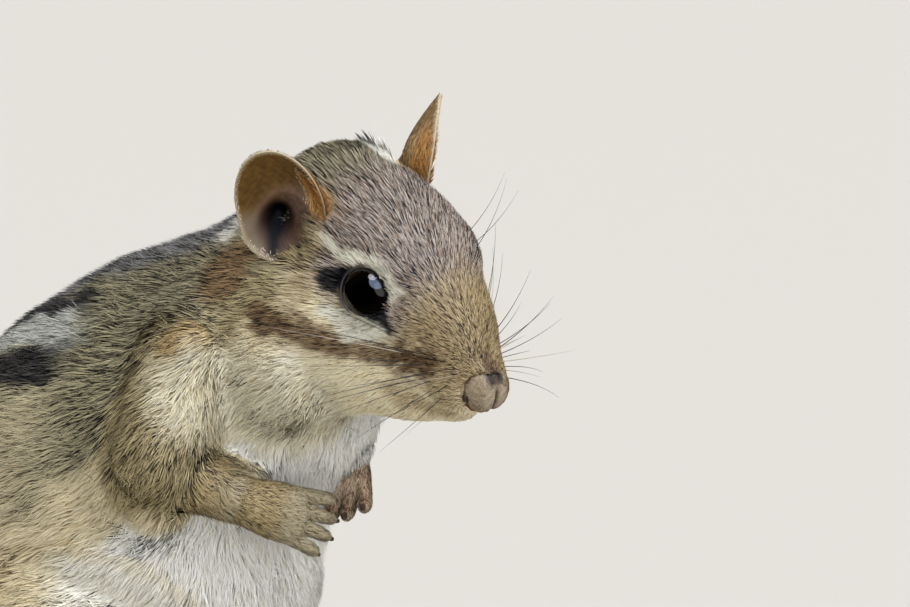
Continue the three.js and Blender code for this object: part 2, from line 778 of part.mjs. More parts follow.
// The scene graph, with the origin under the middle of the whole
function meshOf({ name, made, colour, roughness }) {
  const { vertProperties, triVerts } = made.getMesh();
  const geometry = new THREE.BufferGeometry()
    .setAttribute("position", new THREE.BufferAttribute(vertProperties, 3))
    .setIndex(new THREE.BufferAttribute(triVerts, 1));
  geometry.computeVertexNormals();
  const material = new THREE.MeshStandardMaterial({ color: colour, roughness, metalness: 0 });
  const mesh = new THREE.Mesh(geometry, material);
  mesh.name = name;
  return mesh;
}
const chipmunk = new THREE.Group();
chipmunk.add(...pieces.map(meshOf));
const bounds = new THREE.Box3().setFromObject(chipmunk);
const middle = bounds.getCenter(at(0, 0, 0));
chipmunk.position.set(-middle.x, -middle.y, -bounds.min.z);

export default chipmunk;
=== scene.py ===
import math

import bmesh
import bpy
import numpy as np
from mathutils import Matrix, Vector
from mathutils.bvhtree import BVHTree
from mathutils.kdtree import KDTree


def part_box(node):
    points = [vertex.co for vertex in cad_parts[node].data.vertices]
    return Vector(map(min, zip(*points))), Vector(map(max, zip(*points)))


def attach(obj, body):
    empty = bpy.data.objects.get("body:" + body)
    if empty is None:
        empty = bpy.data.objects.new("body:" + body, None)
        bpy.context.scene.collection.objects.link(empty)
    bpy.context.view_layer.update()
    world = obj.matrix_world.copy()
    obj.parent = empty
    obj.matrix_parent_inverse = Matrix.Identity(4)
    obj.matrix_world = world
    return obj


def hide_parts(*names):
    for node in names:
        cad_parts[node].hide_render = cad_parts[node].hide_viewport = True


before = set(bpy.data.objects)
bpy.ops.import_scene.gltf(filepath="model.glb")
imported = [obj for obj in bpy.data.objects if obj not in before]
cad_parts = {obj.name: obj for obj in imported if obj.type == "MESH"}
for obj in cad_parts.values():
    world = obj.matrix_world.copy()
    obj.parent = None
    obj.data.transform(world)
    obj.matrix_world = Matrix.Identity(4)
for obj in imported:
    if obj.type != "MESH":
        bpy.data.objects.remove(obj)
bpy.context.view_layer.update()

# Sizes are millimetres in the animal's own frame: nose over X = 0, +X forward, +Y its left, floor at Z = 0.
METRE = 0.001
NOSE = np.array((0.0, -8.0, 58.0))
HEAD_TURN = 11.0
HEAD_PITCH = 33.0
HEAD_TILT = 15.0
EYE_PLACE = np.array((-20.7, 7.5, 4.1))
EYE_RADIUS = 4.2
EYE_OUTWARD = np.array((0.42, 0.78, 0.44))
EYE_SINK = 0.35
NOSE_CENTRE = np.array((-2.2, 0, -2))
NOSE_RADII = np.array((2.5, 3.4, 3.3))
EAR_HEIGHT = 18.5
EAR_WIDTH = 12.4
EAR_CUP = 3.5
EAR_WALL = 0.7
SEAL = 0.22
SKIN_VOXEL = 0.62
PAW_VOXEL = 0.26
HAIR_BUDGET = 48000
BELLY_LOW = 0.25
HAIR_LOW = 0.15
SKIN_LOW = 0.02
UP = np.array((0, 0, 1.0))
SIDES = ((1, "left"), (-1, "right"))

# The trunk along the back, rump to nape: X, Z, radius.
SPINE = [(-96, 15, 14), (-89, 19, 18), (-81, 34, 21), (-67, 46.5, 21.5), (-55, 55, 19.2), (-43, 62, 15.5)]
SPINE = np.array(SPINE + [(-38, 68, 12.5)])
# Shoulder, elbow, wrist and knuckles, then the ways of the fingers and of the palm.
ARMS = {
    "left": ((-46, 14.5, 60), (-49, 20.5, 50), (-36.5, 8.6, 44.6), (-33.9, 4.6, 41.2)),
    "right": ((-46, -14.5, 60), (-47.5, -21, 47), (-36, -14.5, 40.7), (-32.4, -9, 38.8)),
}
FINGERS = {"left": (0.3, -0.62, -0.72), "right": (0.5, 0.8, -0.33)}
PALMS = {"left": (0.1, -0.75, 0.65), "right": (-0.55, 0.7, -0.1)}
KNEE = (-60, 19.5, 19)
HEEL = (-82, 18.5, 5.2)
TOES = (-51, 21, 2.6)
TAIL_LINE = [(-97, 0, 14), (-106, 0.5, 8.5), (-120, 3, 6.2), (-140, 8, 5.8), (-160, 10, 5.8), (-178, 6, 5.6)]
TAIL_LINE += [(-190, -1, 5.2)]
TAIL_STATIONS = (0, 0.12, 0.5, 0.82, 1)
TAIL_WIDTH = (6.6, 7.6, 9.2, 8.4, 3.4)
TAIL_HEIGHT = (6.2, 6.0, 5.8, 5.2, 3.0)
TAIL_CORE = 0.4


# Small mathematics on rows of points


def unit(rows):
    rows = np.asarray(rows, float)
    return rows / np.maximum(np.linalg.norm(rows, axis=-1, keepdims=True), 1e-9)


def dots(a, b):
    return np.einsum("ij,ij->i", a, b)


def rows_of(values, count):
    return np.tile(values, (count, 1))


def circle(count):
    """Even angles once round."""
    return np.linspace(0, 2 * math.pi, count, endpoint=False)


def rise(low, high, value):
    """0 at low, 1 at high, smooth between and flat beyond, whichever is larger."""
    t = np.clip((value - low) / (high - low), 0, 1)
    return t * t * (3 - 2 * t)


def hump(value, middle, half, soft):
    """1 within half of middle, falling to 0 over soft."""
    return 1 - rise(half, half + soft, np.abs(value - middle))


def ripple(points, wavelength, seed, waves=8):
    """Smooth seeded noise of about -1 to 1."""
    rng = np.random.default_rng(seed)
    ways = unit(rng.normal(size=(waves, 3))) * (2 * math.pi / wavelength)
    ways *= rng.uniform(0.7, 1.5, (waves, 1))
    return np.sin(points @ ways.T + rng.uniform(0, 2 * math.pi, waves)).sum(1) / math.sqrt(waves)


def linear(colour):
    """Screen colours, 0 to 1, as light."""
    return np.clip(colour, 0, 1) ** 2.2


def far_from(points, place):
    return np.linalg.norm(points - place, axis=1)


def toward(shade, share, colour):
    """Colours drawn to another by a share at each."""
    return shade + share[:, None] * (np.array(colour) - shade)


def turn_about(axis, degrees):
    return np.array(Matrix.Rotation(math.radians(degrees), 3, axis))


HEAD = turn_about("Z", -HEAD_TURN) @ turn_about("Y", HEAD_PITCH) @ turn_about("X", HEAD_TILT)


def on_head(points):
    return NOSE + np.asarray(points, float) @ HEAD.T


def to_head(points):
    return (points - NOSE) @ HEAD


def at_nose(points):
    """1 round the nose pad, falling to 0 a little way out."""
    return rise(5.4, 3.8, far_from(points, on_head(NOSE_CENTRE)))[:, None]


SHIFT = np.mean(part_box("eye_left"), 0) / METRE - on_head(EYE_PLACE)


def smooth_line(points, count):
    """A smooth run through points (any number of columns), at even steps."""
    points = np.asarray(points, float)
    padded = np.vstack([2 * points[0] - points[1], points, 2 * points[-1] - points[-2]])
    fine = []
    for a, b, c, d in zip(padded, padded[1:], padded[2:], padded[3:]):
        for t in np.linspace(0, 1, 24, endpoint=False):
            bend = (2 * a - 5 * b + 4 * c - d) * t * t
            fine.append(0.5 * (2 * b + (c - a) * t + bend + (3 * b - a - 3 * c + d) * t**3))
    fine = np.array(fine + [points[-1]])
    reach = np.concatenate([[0], np.cumsum(np.linalg.norm(np.diff(fine[:, :3], axis=0), axis=1))])
    at = np.linspace(0, reach[-1], count)
    return np.stack([np.interp(at, reach, column) for column in fine.T], axis=1)


def nearest_on(line, points):
    """How far along a run of straight lengths each point is, as joints, with that place and its way."""
    best = np.full(len(points), np.inf)
    station = np.zeros(len(points))
    place = np.zeros((len(points), 3))
    way = np.zeros((len(points), 3))
    for i, (a, b) in enumerate(zip(line, line[1:])):
        span = b - a
        t = np.clip((points - a) @ span / (span @ span), 0, 1)
        foot = a + t[:, None] * span
        far = far_from(points, foot)
        closer = far < best
        best[closer] = far[closer]
        station[closer] = i + t[closer]
        place[closer] = foot[closer]
        way[closer] = unit(span)
    return station, place, way, best


# Meshes


def placed(name, data):
    """A new object in the scene."""
    thing = bpy.data.objects.new(name, data)
    bpy.context.collection.objects.link(thing)
    return thing


def mesh_of(name, points, faces):
    """A mesh in metres in the frame, from millimetre points and equal-sided faces."""
    faces = np.asarray(faces, np.int32)
    count, sides = faces.shape
    mesh = bpy.data.meshes.new(name)
    mesh.vertices.add(len(points))
    mesh.vertices.foreach_set("co", ((points + SHIFT) * METRE).astype(np.float32).ravel())
    mesh.loops.add(count * sides)
    mesh.loops.foreach_set("vertex_index", faces.ravel())
    mesh.polygons.add(count)
    mesh.polygons.foreach_set("loop_start", np.arange(0, count * sides, sides, dtype=np.int32))
    mesh.update(calc_edges=True)
    mesh.polygons.foreach_set("use_smooth", np.ones(count, bool))
    return mesh


def piece(name, points, faces, material, colours, nodes=()):
    """One finished object: its mesh, material and colours at its points, parented to the root; the model's
    parts it stands in for are hidden.
    """
    mesh = mesh_of(name, points, faces)
    shade = mesh.attributes.new("coat", "FLOAT_COLOR", "POINT")
    rgba = np.ones((len(points), 4), np.float32)
    rgba[:, :3] = linear(colours)
    shade.data.foreach_set("color", rgba.ravel())
    thing = placed(name, mesh)
    mesh.materials.append(material)
    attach(thing, "root")
    if nodes:
        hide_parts(*nodes)
    return thing


def outward(points, faces):
    """The faces, turned over if the closed mesh is inside out."""
    centred = points - points.mean(0)
    a, b, c = (centred[faces[:, i]] for i in range(3))
    volume = dots(a, np.cross(b, c)).sum()
    return faces if volume > 0 else faces[:, ::-1]


def triangles_of(faces):
    faces = np.asarray(faces)
    if faces.shape[1] == 3:
        return faces
    return np.vstack([faces[:, (0, 1, 2)], faces[:, (0, 2, 3)]])


def joined(parts):
    points = np.vstack([part[0] for part in parts])
    offsets = np.cumsum([0] + [len(part[0]) for part in parts[:-1]])
    faces = np.vstack([part[1] + offset for part, offset in zip(parts, offsets)])
    return points, faces


def fan(apex, s, t):
    return np.stack([np.full(len(s), apex), s, t], 1)


def band(a, b, s, t):
    """The faces between two rings that start at a and b."""
    return [np.stack([a + s, b + s, b + t], 1), np.stack([a + s, b + t, a + t], 1)]


def tube(joints, up, sides=16, cap=0.7):
    """A closed tube of elliptic sections. A joint's columns are X, Y, Z, half width, half height."""
    joints = np.asarray(joints, float)
    centres = joints[:, :3]
    way = unit(np.gradient(centres, axis=0))
    across = unit(np.cross(way, up))
    over = np.cross(across, way)
    angles = circle(sides)
    rings = (
        centres[:, None]
        + (joints[:, 3, None] * np.cos(angles))[..., None] * across[:, None]
        + (joints[:, 4, None] * np.sin(angles))[..., None] * over[:, None]
    )
    ends = (centres[0] - way[0] * cap * joints[0, 4], centres[-1] + way[-1] * cap * joints[-1, 4])
    points = np.vstack([rings.reshape(-1, 3), *ends])
    count = len(joints)
    s = np.arange(sides)
    t = (s + 1) % sides
    faces = []
    for i in range(count - 1):
        a = i * sides
        faces += [np.stack([a + s, a + t, a + sides + t], 1)]
        faces += [np.stack([a + s, a + sides + t, a + sides + s], 1)]
    end = (count - 1) * sides
    faces += [fan(count * sides, t, s), fan(count * sides + 1, end + s, end + t)]
    return points, outward(points, np.vstack(faces))


def sheet_ball(centre, radii, axes, around=48, rows=32):
    """A fine ellipsoid with its poles on the first axis."""
    lat = np.linspace(0, math.pi, rows + 1)[1:-1]
    lon = circle(around)
    la, lo = np.meshgrid(lat, lon, indexing="ij")
    local = np.stack([np.cos(la), np.sin(la) * np.cos(lo), np.sin(la) * np.sin(lo)], -1)
    local = np.vstack([local.reshape(-1, 3), (1, 0, 0), (-1, 0, 0)])
    rows -= 1
    s = np.arange(around)
    t = (s + 1) % around
    faces = []
    for i in range(rows - 1):
        faces += band(i * around, (i + 1) * around, s, t)
    end = (rows - 1) * around
    faces += [fan(end + around, s, t), fan(end + around + 1, end + t, end + s)]
    points = centre + (local * radii) @ np.asarray(axes)
    return points, outward(points, np.vstack(faces)), local


def node_points(name, push):
    """A solid's merged mesh in millimetres, pushed out along its normals."""
    work = bmesh.new()
    work.from_mesh(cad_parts[name].data)
    bmesh.ops.remove_doubles(work, verts=work.verts, dist=2e-6)
    work.normal_update()
    points = np.array([v.co / METRE + v.normal * push for v in work.verts]) - SHIFT
    faces = np.array([[v.index for v in f.verts] for f in work.faces])
    work.free()
    return points, faces


def remeshed(points, faces, voxel):
    """One even skin round overlapping closed shapes."""
    mesh = bpy.data.meshes.new("lump")
    mesh.from_pydata(points.tolist(), [], faces.tolist())
    thing = placed("lump", mesh)
    even = thing.modifiers.new("even", "REMESH")
    even.mode = "VOXEL"
    even.voxel_size = voxel
    graph = bpy.context.evaluated_depsgraph_get()
    made = bpy.data.meshes.new_from_object(thing.evaluated_get(graph))
    out = np.empty(len(made.vertices) * 3, np.float32)
    made.vertices.foreach_get("co", out)
    corners = np.empty(len(made.loops), np.int32)
    made.loops.foreach_get("vertex_index", corners)
    bpy.data.objects.remove(thing)
    bpy.data.meshes.remove(mesh)
    bpy.data.meshes.remove(made)
    return out.reshape(-1, 3).astype(float), corners.reshape(-1, 4)


def keep_above(points, least):
    """Lifts what is lower than that to it, in place."""
    points[..., 2] = np.maximum(points[..., 2], least)


def edges_of(faces):
    pairs = np.vstack([faces[:, [i, (i + 1) % faces.shape[1]]] for i in range(faces.shape[1])])
    pairs.sort(axis=1)
    return np.unique(pairs, axis=0)


def relaxed(points, edges, rounds, push=-0.53):
    """Smoothed without shrinking: each round draws in and pushes back out."""
    count = len(points)
    a, b = edges.T
    links = np.bincount(a, minlength=count) + np.bincount(b, minlength=count)
    for _ in range(rounds):
        for share in (0.5, push):
            sums = [np.bincount(a, row[b], count) + np.bincount(b, row[a], count) for row in points.T]
            points = points + share * (np.stack(sums, 1) / links[:, None] - points)
    return points


def normals_of(points, faces):
    tris = triangles_of(faces)
    a, b, c = (points[tris[:, i]] for i in range(3))
    face = np.cross(b - a, c - a)
    total = np.zeros_like(points)
    for k in range(3):
        for i in range(3):
            total[:, k] += np.bincount(tris[:, i], face[:, k], len(points))
    return unit(total)


# The coat's regions: a line down the middle of each, its girth, and at each joint of the line the
# coat's depth, the length and width of a hair, and hairs to a square millimetre.


def side_of(point, side):
    return (point[0], point[1] * (1 if side == "left" else -1), point[2])


def region(line, girth, depth, length, width, density):
    line = np.array(line, float)
    return dict(line=line, girth=girth, depth=depth, length=length, width=width, density=density)


REGIONS = {
    "head": region(
        on_head([(-34, 0, -3), (-26, 0, -3), (-18, 0, -2), (-10, 0, -2), (-5, 0, -2)]),
        15,
        (1.9, 1.4, 1.0, 0.7, 0.45),
        (4.0, 2.9, 2.2, 1.6, 1.0),
        (0.16, 0.14, 0.125, 0.11, 0.09),
        (20, 28, 37, 46, 54),
    ),
    "trunk": region(
        np.stack([SPINE[:, 0], 0 * SPINE[:, 0], SPINE[:, 1]], 1),
        19,
        (2.2, 2.4, 2.4, 2.3, 2.2, 2.1, 2.0),
        (5.6, 5.6, 5.2, 4.6, 4.2, 4.0, 3.8),
        (0.23, 0.23, 0.205, 0.185, 0.17, 0.16, 0.15),
        (10, 10, 11.5, 14, 16, 17.5, 19),
    ),
}
for side, (shoulder, elbow, wrist, _) in ARMS.items():
    hip, thigh, knee, heel = (side_of(at, side) for at in ((-84, 17.5, 24), (-70, 17.5, 22), KNEE, HEEL))
    REGIONS[f"upper_arm_{side}"] = region(
        [shoulder, elbow], 7.5, (1.9, 1.3), (4.0, 3.0), (0.18, 0.17), (16, 17)
    )
    REGIONS[f"forearm_{side}"] = region([elbow, wrist], 4.5, (1.2, 0.6), (2.8, 1.8), (0.16, 0.13), (19, 27))
    REGIONS[f"leg_{side}"] = region(
        [hip, thigh, knee], 10, (2.2, 2.0, 1.6), (5.4, 4.8, 4), (0.25, 0.23, 0.2), (10, 10.5, 12)
    )
    REGIONS[f"shin_{side}"] = region([knee, heel], 6, (1.6, 0.9), (3.4, 2.4), (0.22, 0.18), (12, 16))
NAMES = list(REGIONS)


def region_shares(points):
    """Each region's say at each point, and where the point is along its line."""
    found = [nearest_on(part["line"], points) for part in REGIONS.values()]
    stations, places, ways, far = zip(*found)
    near = np.array([row / part["girth"] for row, part in zip(far, REGIONS.values())])
    shares = np.exp(-9 * (near - near.min(0)))
    return shares / shares.sum(0), np.array(stations), places, ways


def blended(key, shares, stations):
    total = 0
    for share, station, part in zip(shares, stations, REGIONS.values()):
        total = total + share * np.interp(station, range(len(part[key])), part[key])
    return total


def head_lie(h):
    """The way hair lies on the head, in its own frame: back from the nose, falling on the cheeks."""
    fall = np.interp(h[:, 2], (-12, -6, -2, 2, 6, 12), (0.85, 0.75, 0.45, 0.05, -0.1, 0))
    fall += 0.45 * rise(-22, -32, h[:, 0]) * hump(h[:, 2], 0, 3, 4)
    part = 0.12 * np.clip(h[:, 1] / 3, -1, 1)
    return unit(np.stack([-np.ones(len(h)), part, -fall], 1))


def trunk_lie(points, normals):
    """The way hair lies on the trunk: back along the side, steeper lower down, straight down in front."""
    fall = np.interp(points[:, 2], (20, 38, 48, 60, 72), (0.9, 0.6, 0.42, 0.3, 0.3))
    fall = fall + 1.1 * rise(-70, -90, points[:, 0])
    spread = np.stack([points[:, 0] + 45, np.abs(points[:, 1]) - 24, points[:, 2] - 57.5], 1)
    fall = fall - 0.7 * rise(7, 3, np.linalg.norm(spread, axis=1))
    ahead = rise(0.3, 0.8, normals[:, 0]) * rise(66, 56, points[:, 2])
    back = -1 + 0.9 * ahead
    return np.stack([back, np.zeros(len(points)), -fall - ahead], 1)


def coat_lie(points, normals, shares, ways):
    """The way hair lies over the body."""
    total = np.zeros_like(points)
    for share, name, way in zip(shares, NAMES, ways):
        if name == "head":
            lie = head_lie(to_head(points)) @ HEAD.T
        elif name == "trunk":
            lie = trunk_lie(points, normals)
        elif name.startswith("leg"):
            lie = rows_of((-0.8, 0.0, -0.6), len(points))
        elif name.startswith("upper_arm"):
            lie = way + np.array((-0.6, 0, -0.3))
        else:
            lie = way
        total += share[:, None] * unit(lie)
    return unit(total)


# Markings. A kind of coat is its main colour, its pale hairs, its dark hairs, and their shares.
KINDS = {
    "side": ((0.48, 0.45, 0.35), (0.80, 0.77, 0.62), (0.14, 0.13, 0.12), 0.34, 0.33),
    "nape": ((0.41, 0.38, 0.30), (0.76, 0.73, 0.59), (0.10, 0.10, 0.09), 0.3, 0.38),
    "flank": ((0.66, 0.61, 0.48), (0.87, 0.83, 0.70), (0.34, 0.30, 0.22), 0.4, 0.14),
    "shoulder": ((0.61, 0.52, 0.34), (0.84, 0.77, 0.58), (0.28, 0.22, 0.15), 0.38, 0.18),
    "crown": ((0.55, 0.45, 0.36), (0.84, 0.82, 0.81), (0.15, 0.12, 0.12), 0.34, 0.33),
    "snout": ((0.62, 0.53, 0.38), (0.84, 0.77, 0.60), (0.32, 0.24, 0.16), 0.36, 0.2),
    "cheek": ((0.93, 0.87, 0.70), (0.99, 0.96, 0.86), (0.66, 0.56, 0.38), 0.45, 0.06),
    "fan": ((0.85, 0.81, 0.67), (0.97, 0.95, 0.87), (0.66, 0.58, 0.43), 0.5, 0.06),
    "ochre": ((0.70, 0.54, 0.31), (0.86, 0.73, 0.49), (0.36, 0.26, 0.15), 0.35, 0.14),
    "ring": ((0.88, 0.87, 0.79), (0.97, 0.96, 0.91), (0.72, 0.69, 0.58), 0.4, 0.04),
    "streak": ((0.36, 0.26, 0.17), (0.60, 0.49, 0.34), (0.15, 0.10, 0.07), 0.22, 0.38),
    "black": ((0.13, 0.12, 0.12), (0.40, 0.39, 0.39), (0.05, 0.05, 0.06), 0.16, 0.4),
    "stripe": ((0.68, 0.69, 0.66), (0.84, 0.85, 0.83), (0.42, 0.42, 0.40), 0.4, 0.14),
    "grey": ((0.27, 0.26, 0.25), (0.66, 0.66, 0.66), (0.09, 0.09, 0.09), 0.28, 0.38),
    "rump": ((0.56, 0.40, 0.23), (0.74, 0.59, 0.39), (0.28, 0.18, 0.11), 0.28, 0.22),
    "buff": ((0.84, 0.78, 0.62), (0.94, 0.90, 0.78), (0.60, 0.51, 0.36), 0.4, 0.07),
    "white": ((0.99, 0.98, 0.94), (1.0, 1.0, 0.98), (0.86, 0.84, 0.77), 0.45, 0.04),
    "russet": ((0.48, 0.36, 0.24), (0.68, 0.54, 0.38), (0.18, 0.13, 0.10), 0.28, 0.3),
    "paw": ((0.64, 0.59, 0.47), (0.82, 0.78, 0.67), (0.40, 0.34, 0.25), 0.36, 0.12),
    "palm": ((0.83, 0.72, 0.59), (0.94, 0.87, 0.76), (0.56, 0.42, 0.32), 0.45, 0.12),
}


class Paint:
    """Kinds of coat laid over one another at a row of points."""

    def __init__(self, count):
        self.parts = [rows_of(part, count) for part in KINDS["side"][:3]]
        self.shares = [np.full(count, share) for share in KINDS["side"][3:]]

    def lay(self, cover, kind):
        *parts, pale, dark = KINDS[kind]
        for mine, new in zip(self.parts, parts):
            mine += cover[:, None] * (np.array(new) - mine)
        for mine, new in zip(self.shares, (pale, dark)):
            mine += cover * (new - mine)


def stroke(x, z, line, soft=0.7):
    """A soft stripe on the side of the head through places (x, z, half width)."""
    line = np.array(line, float)
    flat = np.stack([x, z, 0 * x], 1)
    path = np.column_stack([line[:, :2], 0 * line[:, 0]])
    station, _, _, far = nearest_on(path, flat)
    half = np.interp(station, range(len(line)), line[:, 2])
    return rise(half + soft, half, far)


# Stripes: how far round from the middle of the back each runs, at places along X, its half width,
# its kind and where it starts behind the shoulder.
STRIPE_PLACES = (-100, -86, -78, -72, -64, -56)
STRIPES = [
    ((5, 7, 8.7, 11, 16.3, 19), 1.4, "black", -60),
    ((8.3, 11, 13, 15.5, 20.8, 23), 2.3, "stripe", -59),
    ((12.3, 15.8, 18.8, 21.8, 25, 27), 2.1, "black", -61),
]


def trunk_marks(paint, cover, points, place, way):
    """Stripes along the back, pale flanks, buff lower sides and a white belly."""
    off = points - place
    over = unit(np.stack([-way[:, 2], 0 * way[:, 0], way[:, 0]], 1))
    upward = dots(off, over)
    angle = np.degrees(np.arctan2(np.abs(off[:, 1]), upward))
    wobble = 0.3 * ripple(points, 9, 3) + 0.3 * ripple(points, 3.5, 4)
    arc = np.radians(angle) * np.hypot(off[:, 1], upward) + wobble
    x = points[:, 0] + 1.3 * ripple(points, 8, 5)
    z = points[:, 2] + 2 * ripple(points, 9, 7)
    paint.lay(cover * rise(-56, -48, x) * rise(60, 100, angle) * 0.6, "shoulder")
    paint.lay(cover * rise(-58, -70, x) * rise(58, 50, z) * 0.9, "flank")
    rear = rise(-106, -96, x)
    thin = np.interp(x, (-104, -80), (0.5, 1))
    paint.lay(cover * rise(-66, -54, x) * rise(90, 50, angle), "nape")
    paint.lay(cover * hump(arc, 0, np.interp(x, (-84, -66), (7, 9)), 5) * rear, "grey")
    paint.lay(cover * hump(arc, 0, 1.1, 0.9) * rise(-48, -58, x), "black")
    for arcs, half, kind, start in STRIPES:
        far = (arc - np.interp(x, STRIPE_PLACES, arcs)) / thin
        paint.lay(cover * hump(far, 0, half, 1.2) * rise(start, start - 7, x) * rear * 0.93, kind)
    paint.lay(cover * rise(-93, -107, x) * rise(120, 100, angle) * 0.85, "rump")
    paint.lay(cover * rise(-82, -96, x) * rise(45, 65, angle) * rise(120, 100, angle) * 0.8, "rump")
    low = angle + 5 * ripple(points, 10, 6)
    paint.lay(cover * rise(97, 110, low), "buff")
    paint.lay(cover * rise(117, 136, low), "white")


# Marks on the side of the head: places (x, z) in its frame and half widths.
BROWN_STREAK = [(-29, -4.9, 1.6), (-25, -4.3, 1.2), (-21, -3.5, 0.8), (-16, -2.1, 0.6), (-11, -0.7, 0.5)]
BROWN_STREAK += [(-7.5, 0.3, 0.9)]
PALE_STREAK = [(-15.5, 1.6, 0.5), (-11.5, 1.6, 0.5), (-8, 1.8, 0.3)]
OVER_EYE = [(-30.0, 7.6, 0.1), (-25.8, 7.5, 0.4), (-22.0, 8.9, 0.85), (-18.6, 8.8, 1.0), (-16.4, 7.4, 0.9)]
OVER_EYE += [(-15.9, 5.8, 0.35)]
UNDER_EYE = [(-24.4, 0.6, 0.3), (-22.2, 0.2, 0.9), (-19.5, -0.1, 1.5), (-17, 0.7, 1.4), (-15.2, 2, 0.5)]
BEHIND_EYE = [(-24.2, 4.7, 1.2), (-26.1, 3.9, 0.9)]
EYE_CORNER = [(-17.2, 3.4, 0.8), (-14.2, 2.4, 0.15)]
LIPS = [(-4.2, -6.3, 0.3), (-6.5, -7.0, 0.5), (-9, -7.0, 0.6), (-11.5, -6.0, 0.2)]


def head_marks(paint, cover, points):
    """The face: crown and snout, eye ring and streaks, cheek, throat and the patch behind the ear."""
    h = to_head(points)
    h = h + 0.35 * np.stack([ripple(points, 4, s) for s in (11, 12, 13)], 1)
    x = h[:, 0]
    y = np.abs(h[:, 1])
    z = h[:, 2]
    paint.lay(cover, "cheek")
    paint.lay(cover * rise(-1, 5, z + 0.12 * (x + 20)), "crown")
    front = rise(-17, -10, x)
    paint.lay(cover * front * rise(-3, 0, z - 0.1 * (x + 10)), "snout")
    paint.lay(cover * rise(-18.5, -22.5, z - 0.45 * (x + 20)), "white")
    beside = rise(4.5, 6.5, y)
    mottle = np.clip(0.85 + 0.2 * ripple(points, 2.6, 17), 0, 1)
    mottle = mottle * np.interp(x, (-23, -16, -8), (0.95, 0.74, 0.55))
    paint.lay(cover * stroke(x, z, BROWN_STREAK, 1.7) * rise(-5, -9, x) * beside * mottle, "streak")
    paint.lay(cover * stroke(x, z, PALE_STREAK, 1.2) * beside * 0.4, "cheek")
    pad = rise(4.8, 2.2, np.hypot(x + 10, z + 0.8)) * rise(2.6, 3.8, y)
    paint.lay(cover * pad * np.clip(0.6 + 0.5 * ripple(points, 1.6, 18), 0, 0.9), "streak")
    paint.lay(cover * rise(3.4, 1.6, np.hypot(x + 28.5, z - 0.6)) * beside * 0.6, "snout")
    paint.lay(cover * rise(3.6, 1.8, np.hypot(x + 5, z + 2.2)) * 0.8, "snout")
    paint.lay(cover * stroke(x, z, LIPS, 1.6) * rise(1.5, 3, y) * 0.65, "snout")
    bridge = rise(1.7, 0.6, y) * rise(-5.6, -3, x) * rise(-1, 0.5, z)
    paint.lay(cover * bridge * 0.75, "streak")
    for line in (OVER_EYE, UNDER_EYE):
        paint.lay(cover * stroke(x, z, line, 0.8) * beside, "ring")
    for line in (BEHIND_EYE, EYE_CORNER):
        paint.lay(cover * stroke(x, z, line, 0.6) * beside, "black")
    paint.lay(cover * rise(-29, -38, x) * rise(-2, 4, z) * 0.8, "nape")
    paint.lay(cover * rise(-37, -41, x) * rise(-5, -1, z) * 0.9, "nape")


# White tuft that stands at the foot of the left ear
TUFT = np.array((-37.0, 7.8, 11.5))


def neck_marks(paint, points):
    """Marks that run over from the head to the neck and shoulder, on both sides."""
    h = to_head(points)
    h = h + 0.5 * np.stack([ripple(points, 5, s) for s in (14, 15, 16)], 1)
    spot = np.stack([h[:, 0], np.abs(h[:, 1]), h[:, 2]], 1)

    def patch(place, radii, cover, kind):
        far = np.linalg.norm((spot - place) / np.array(radii), axis=1)
        paint.lay(rise(1.3, 0.7, far) * cover, kind)

    patch((-40, 15.5, -4.4), (3.4, 5, 6), 0.75, "russet")
    patch((-45.8, 11, -2.5), (2.2, 4.4, 2.4), 0.65, "white")
    paint.lay(rise(5.0, 3.9, far_from(h, TUFT)), "white")
    patch((-33, 10.5, 4.8), (4.4, 4, 4.4), 0.75, "shoulder")
    patch((-33.5, 9, 11), (3, 3, 2.6), 0.7, "ochre")
    patch((-35.5, 25.5, -10.5), (3.4, 4, 3), 0.7, "ochre")
    patch((-24, 14, -15.5), (10, 9, 8), 1, "fan")
    patch((-29.5, 24, -16), (9.5, 9, 6.5), 1, "fan")
    patch((-20, 8, -28), (9, 11, 4), 1, "white")
    patch((-29, 16, -5.0), (4.8, 4, 1.9), 0.85, "streak")


def limb_marks(paint, cover, name, points, station, place):
    inward = np.abs(place[:, 1]) - np.abs(points[:, 1])
    if name.startswith("forearm"):
        paint.lay(cover, "shoulder")
        paint.lay(cover * rise(0.4, 1, station), "paw")
        paint.lay(cover * rise(0.5, 2.5, inward), "buff")
    elif name.startswith("upper_arm"):
        paint.lay(cover * 0.6, "shoulder")
        paint.lay(cover * rise(41, 37, points[:, 2]), "buff")
    else:
        x, y, z = points.T
        paint.lay(cover * 0.85, "flank")
        paint.lay(cover * 0.3, "ochre")
        paint.lay(cover * rise(-76, -66, x) * rise(16, 23, z) * 0.9, "buff")
        paint.lay(cover * rise(-68, -61, x) * rise(18, 25, z) * 0.8, "white")
        paint.lay(cover * rise(14, 8, z), "buff")
        paint.lay(cover * rise(17, 12, np.abs(y)), "white")
        paint.lay(cover * rise(-80, -90, x), "rump")


def coat_paint(points, shares, stations, places, ways):
    paint = Paint(len(points))
    trunk = NAMES.index("trunk")
    trunk_marks(paint, rise(0.1, 0.6, shares[trunk]), points, places[trunk], ways[trunk])
    for share, name, station, place in zip(shares, NAMES, stations, places):
        if name not in ("trunk", "head"):
            limb_marks(paint, rise(0.2, 0.8, share), name, points, station, place)
    head_marks(paint, rise(0.25, 0.75, shares[NAMES.index("head")]), points)
    neck_marks(paint, points)
    return paint


# Finishes


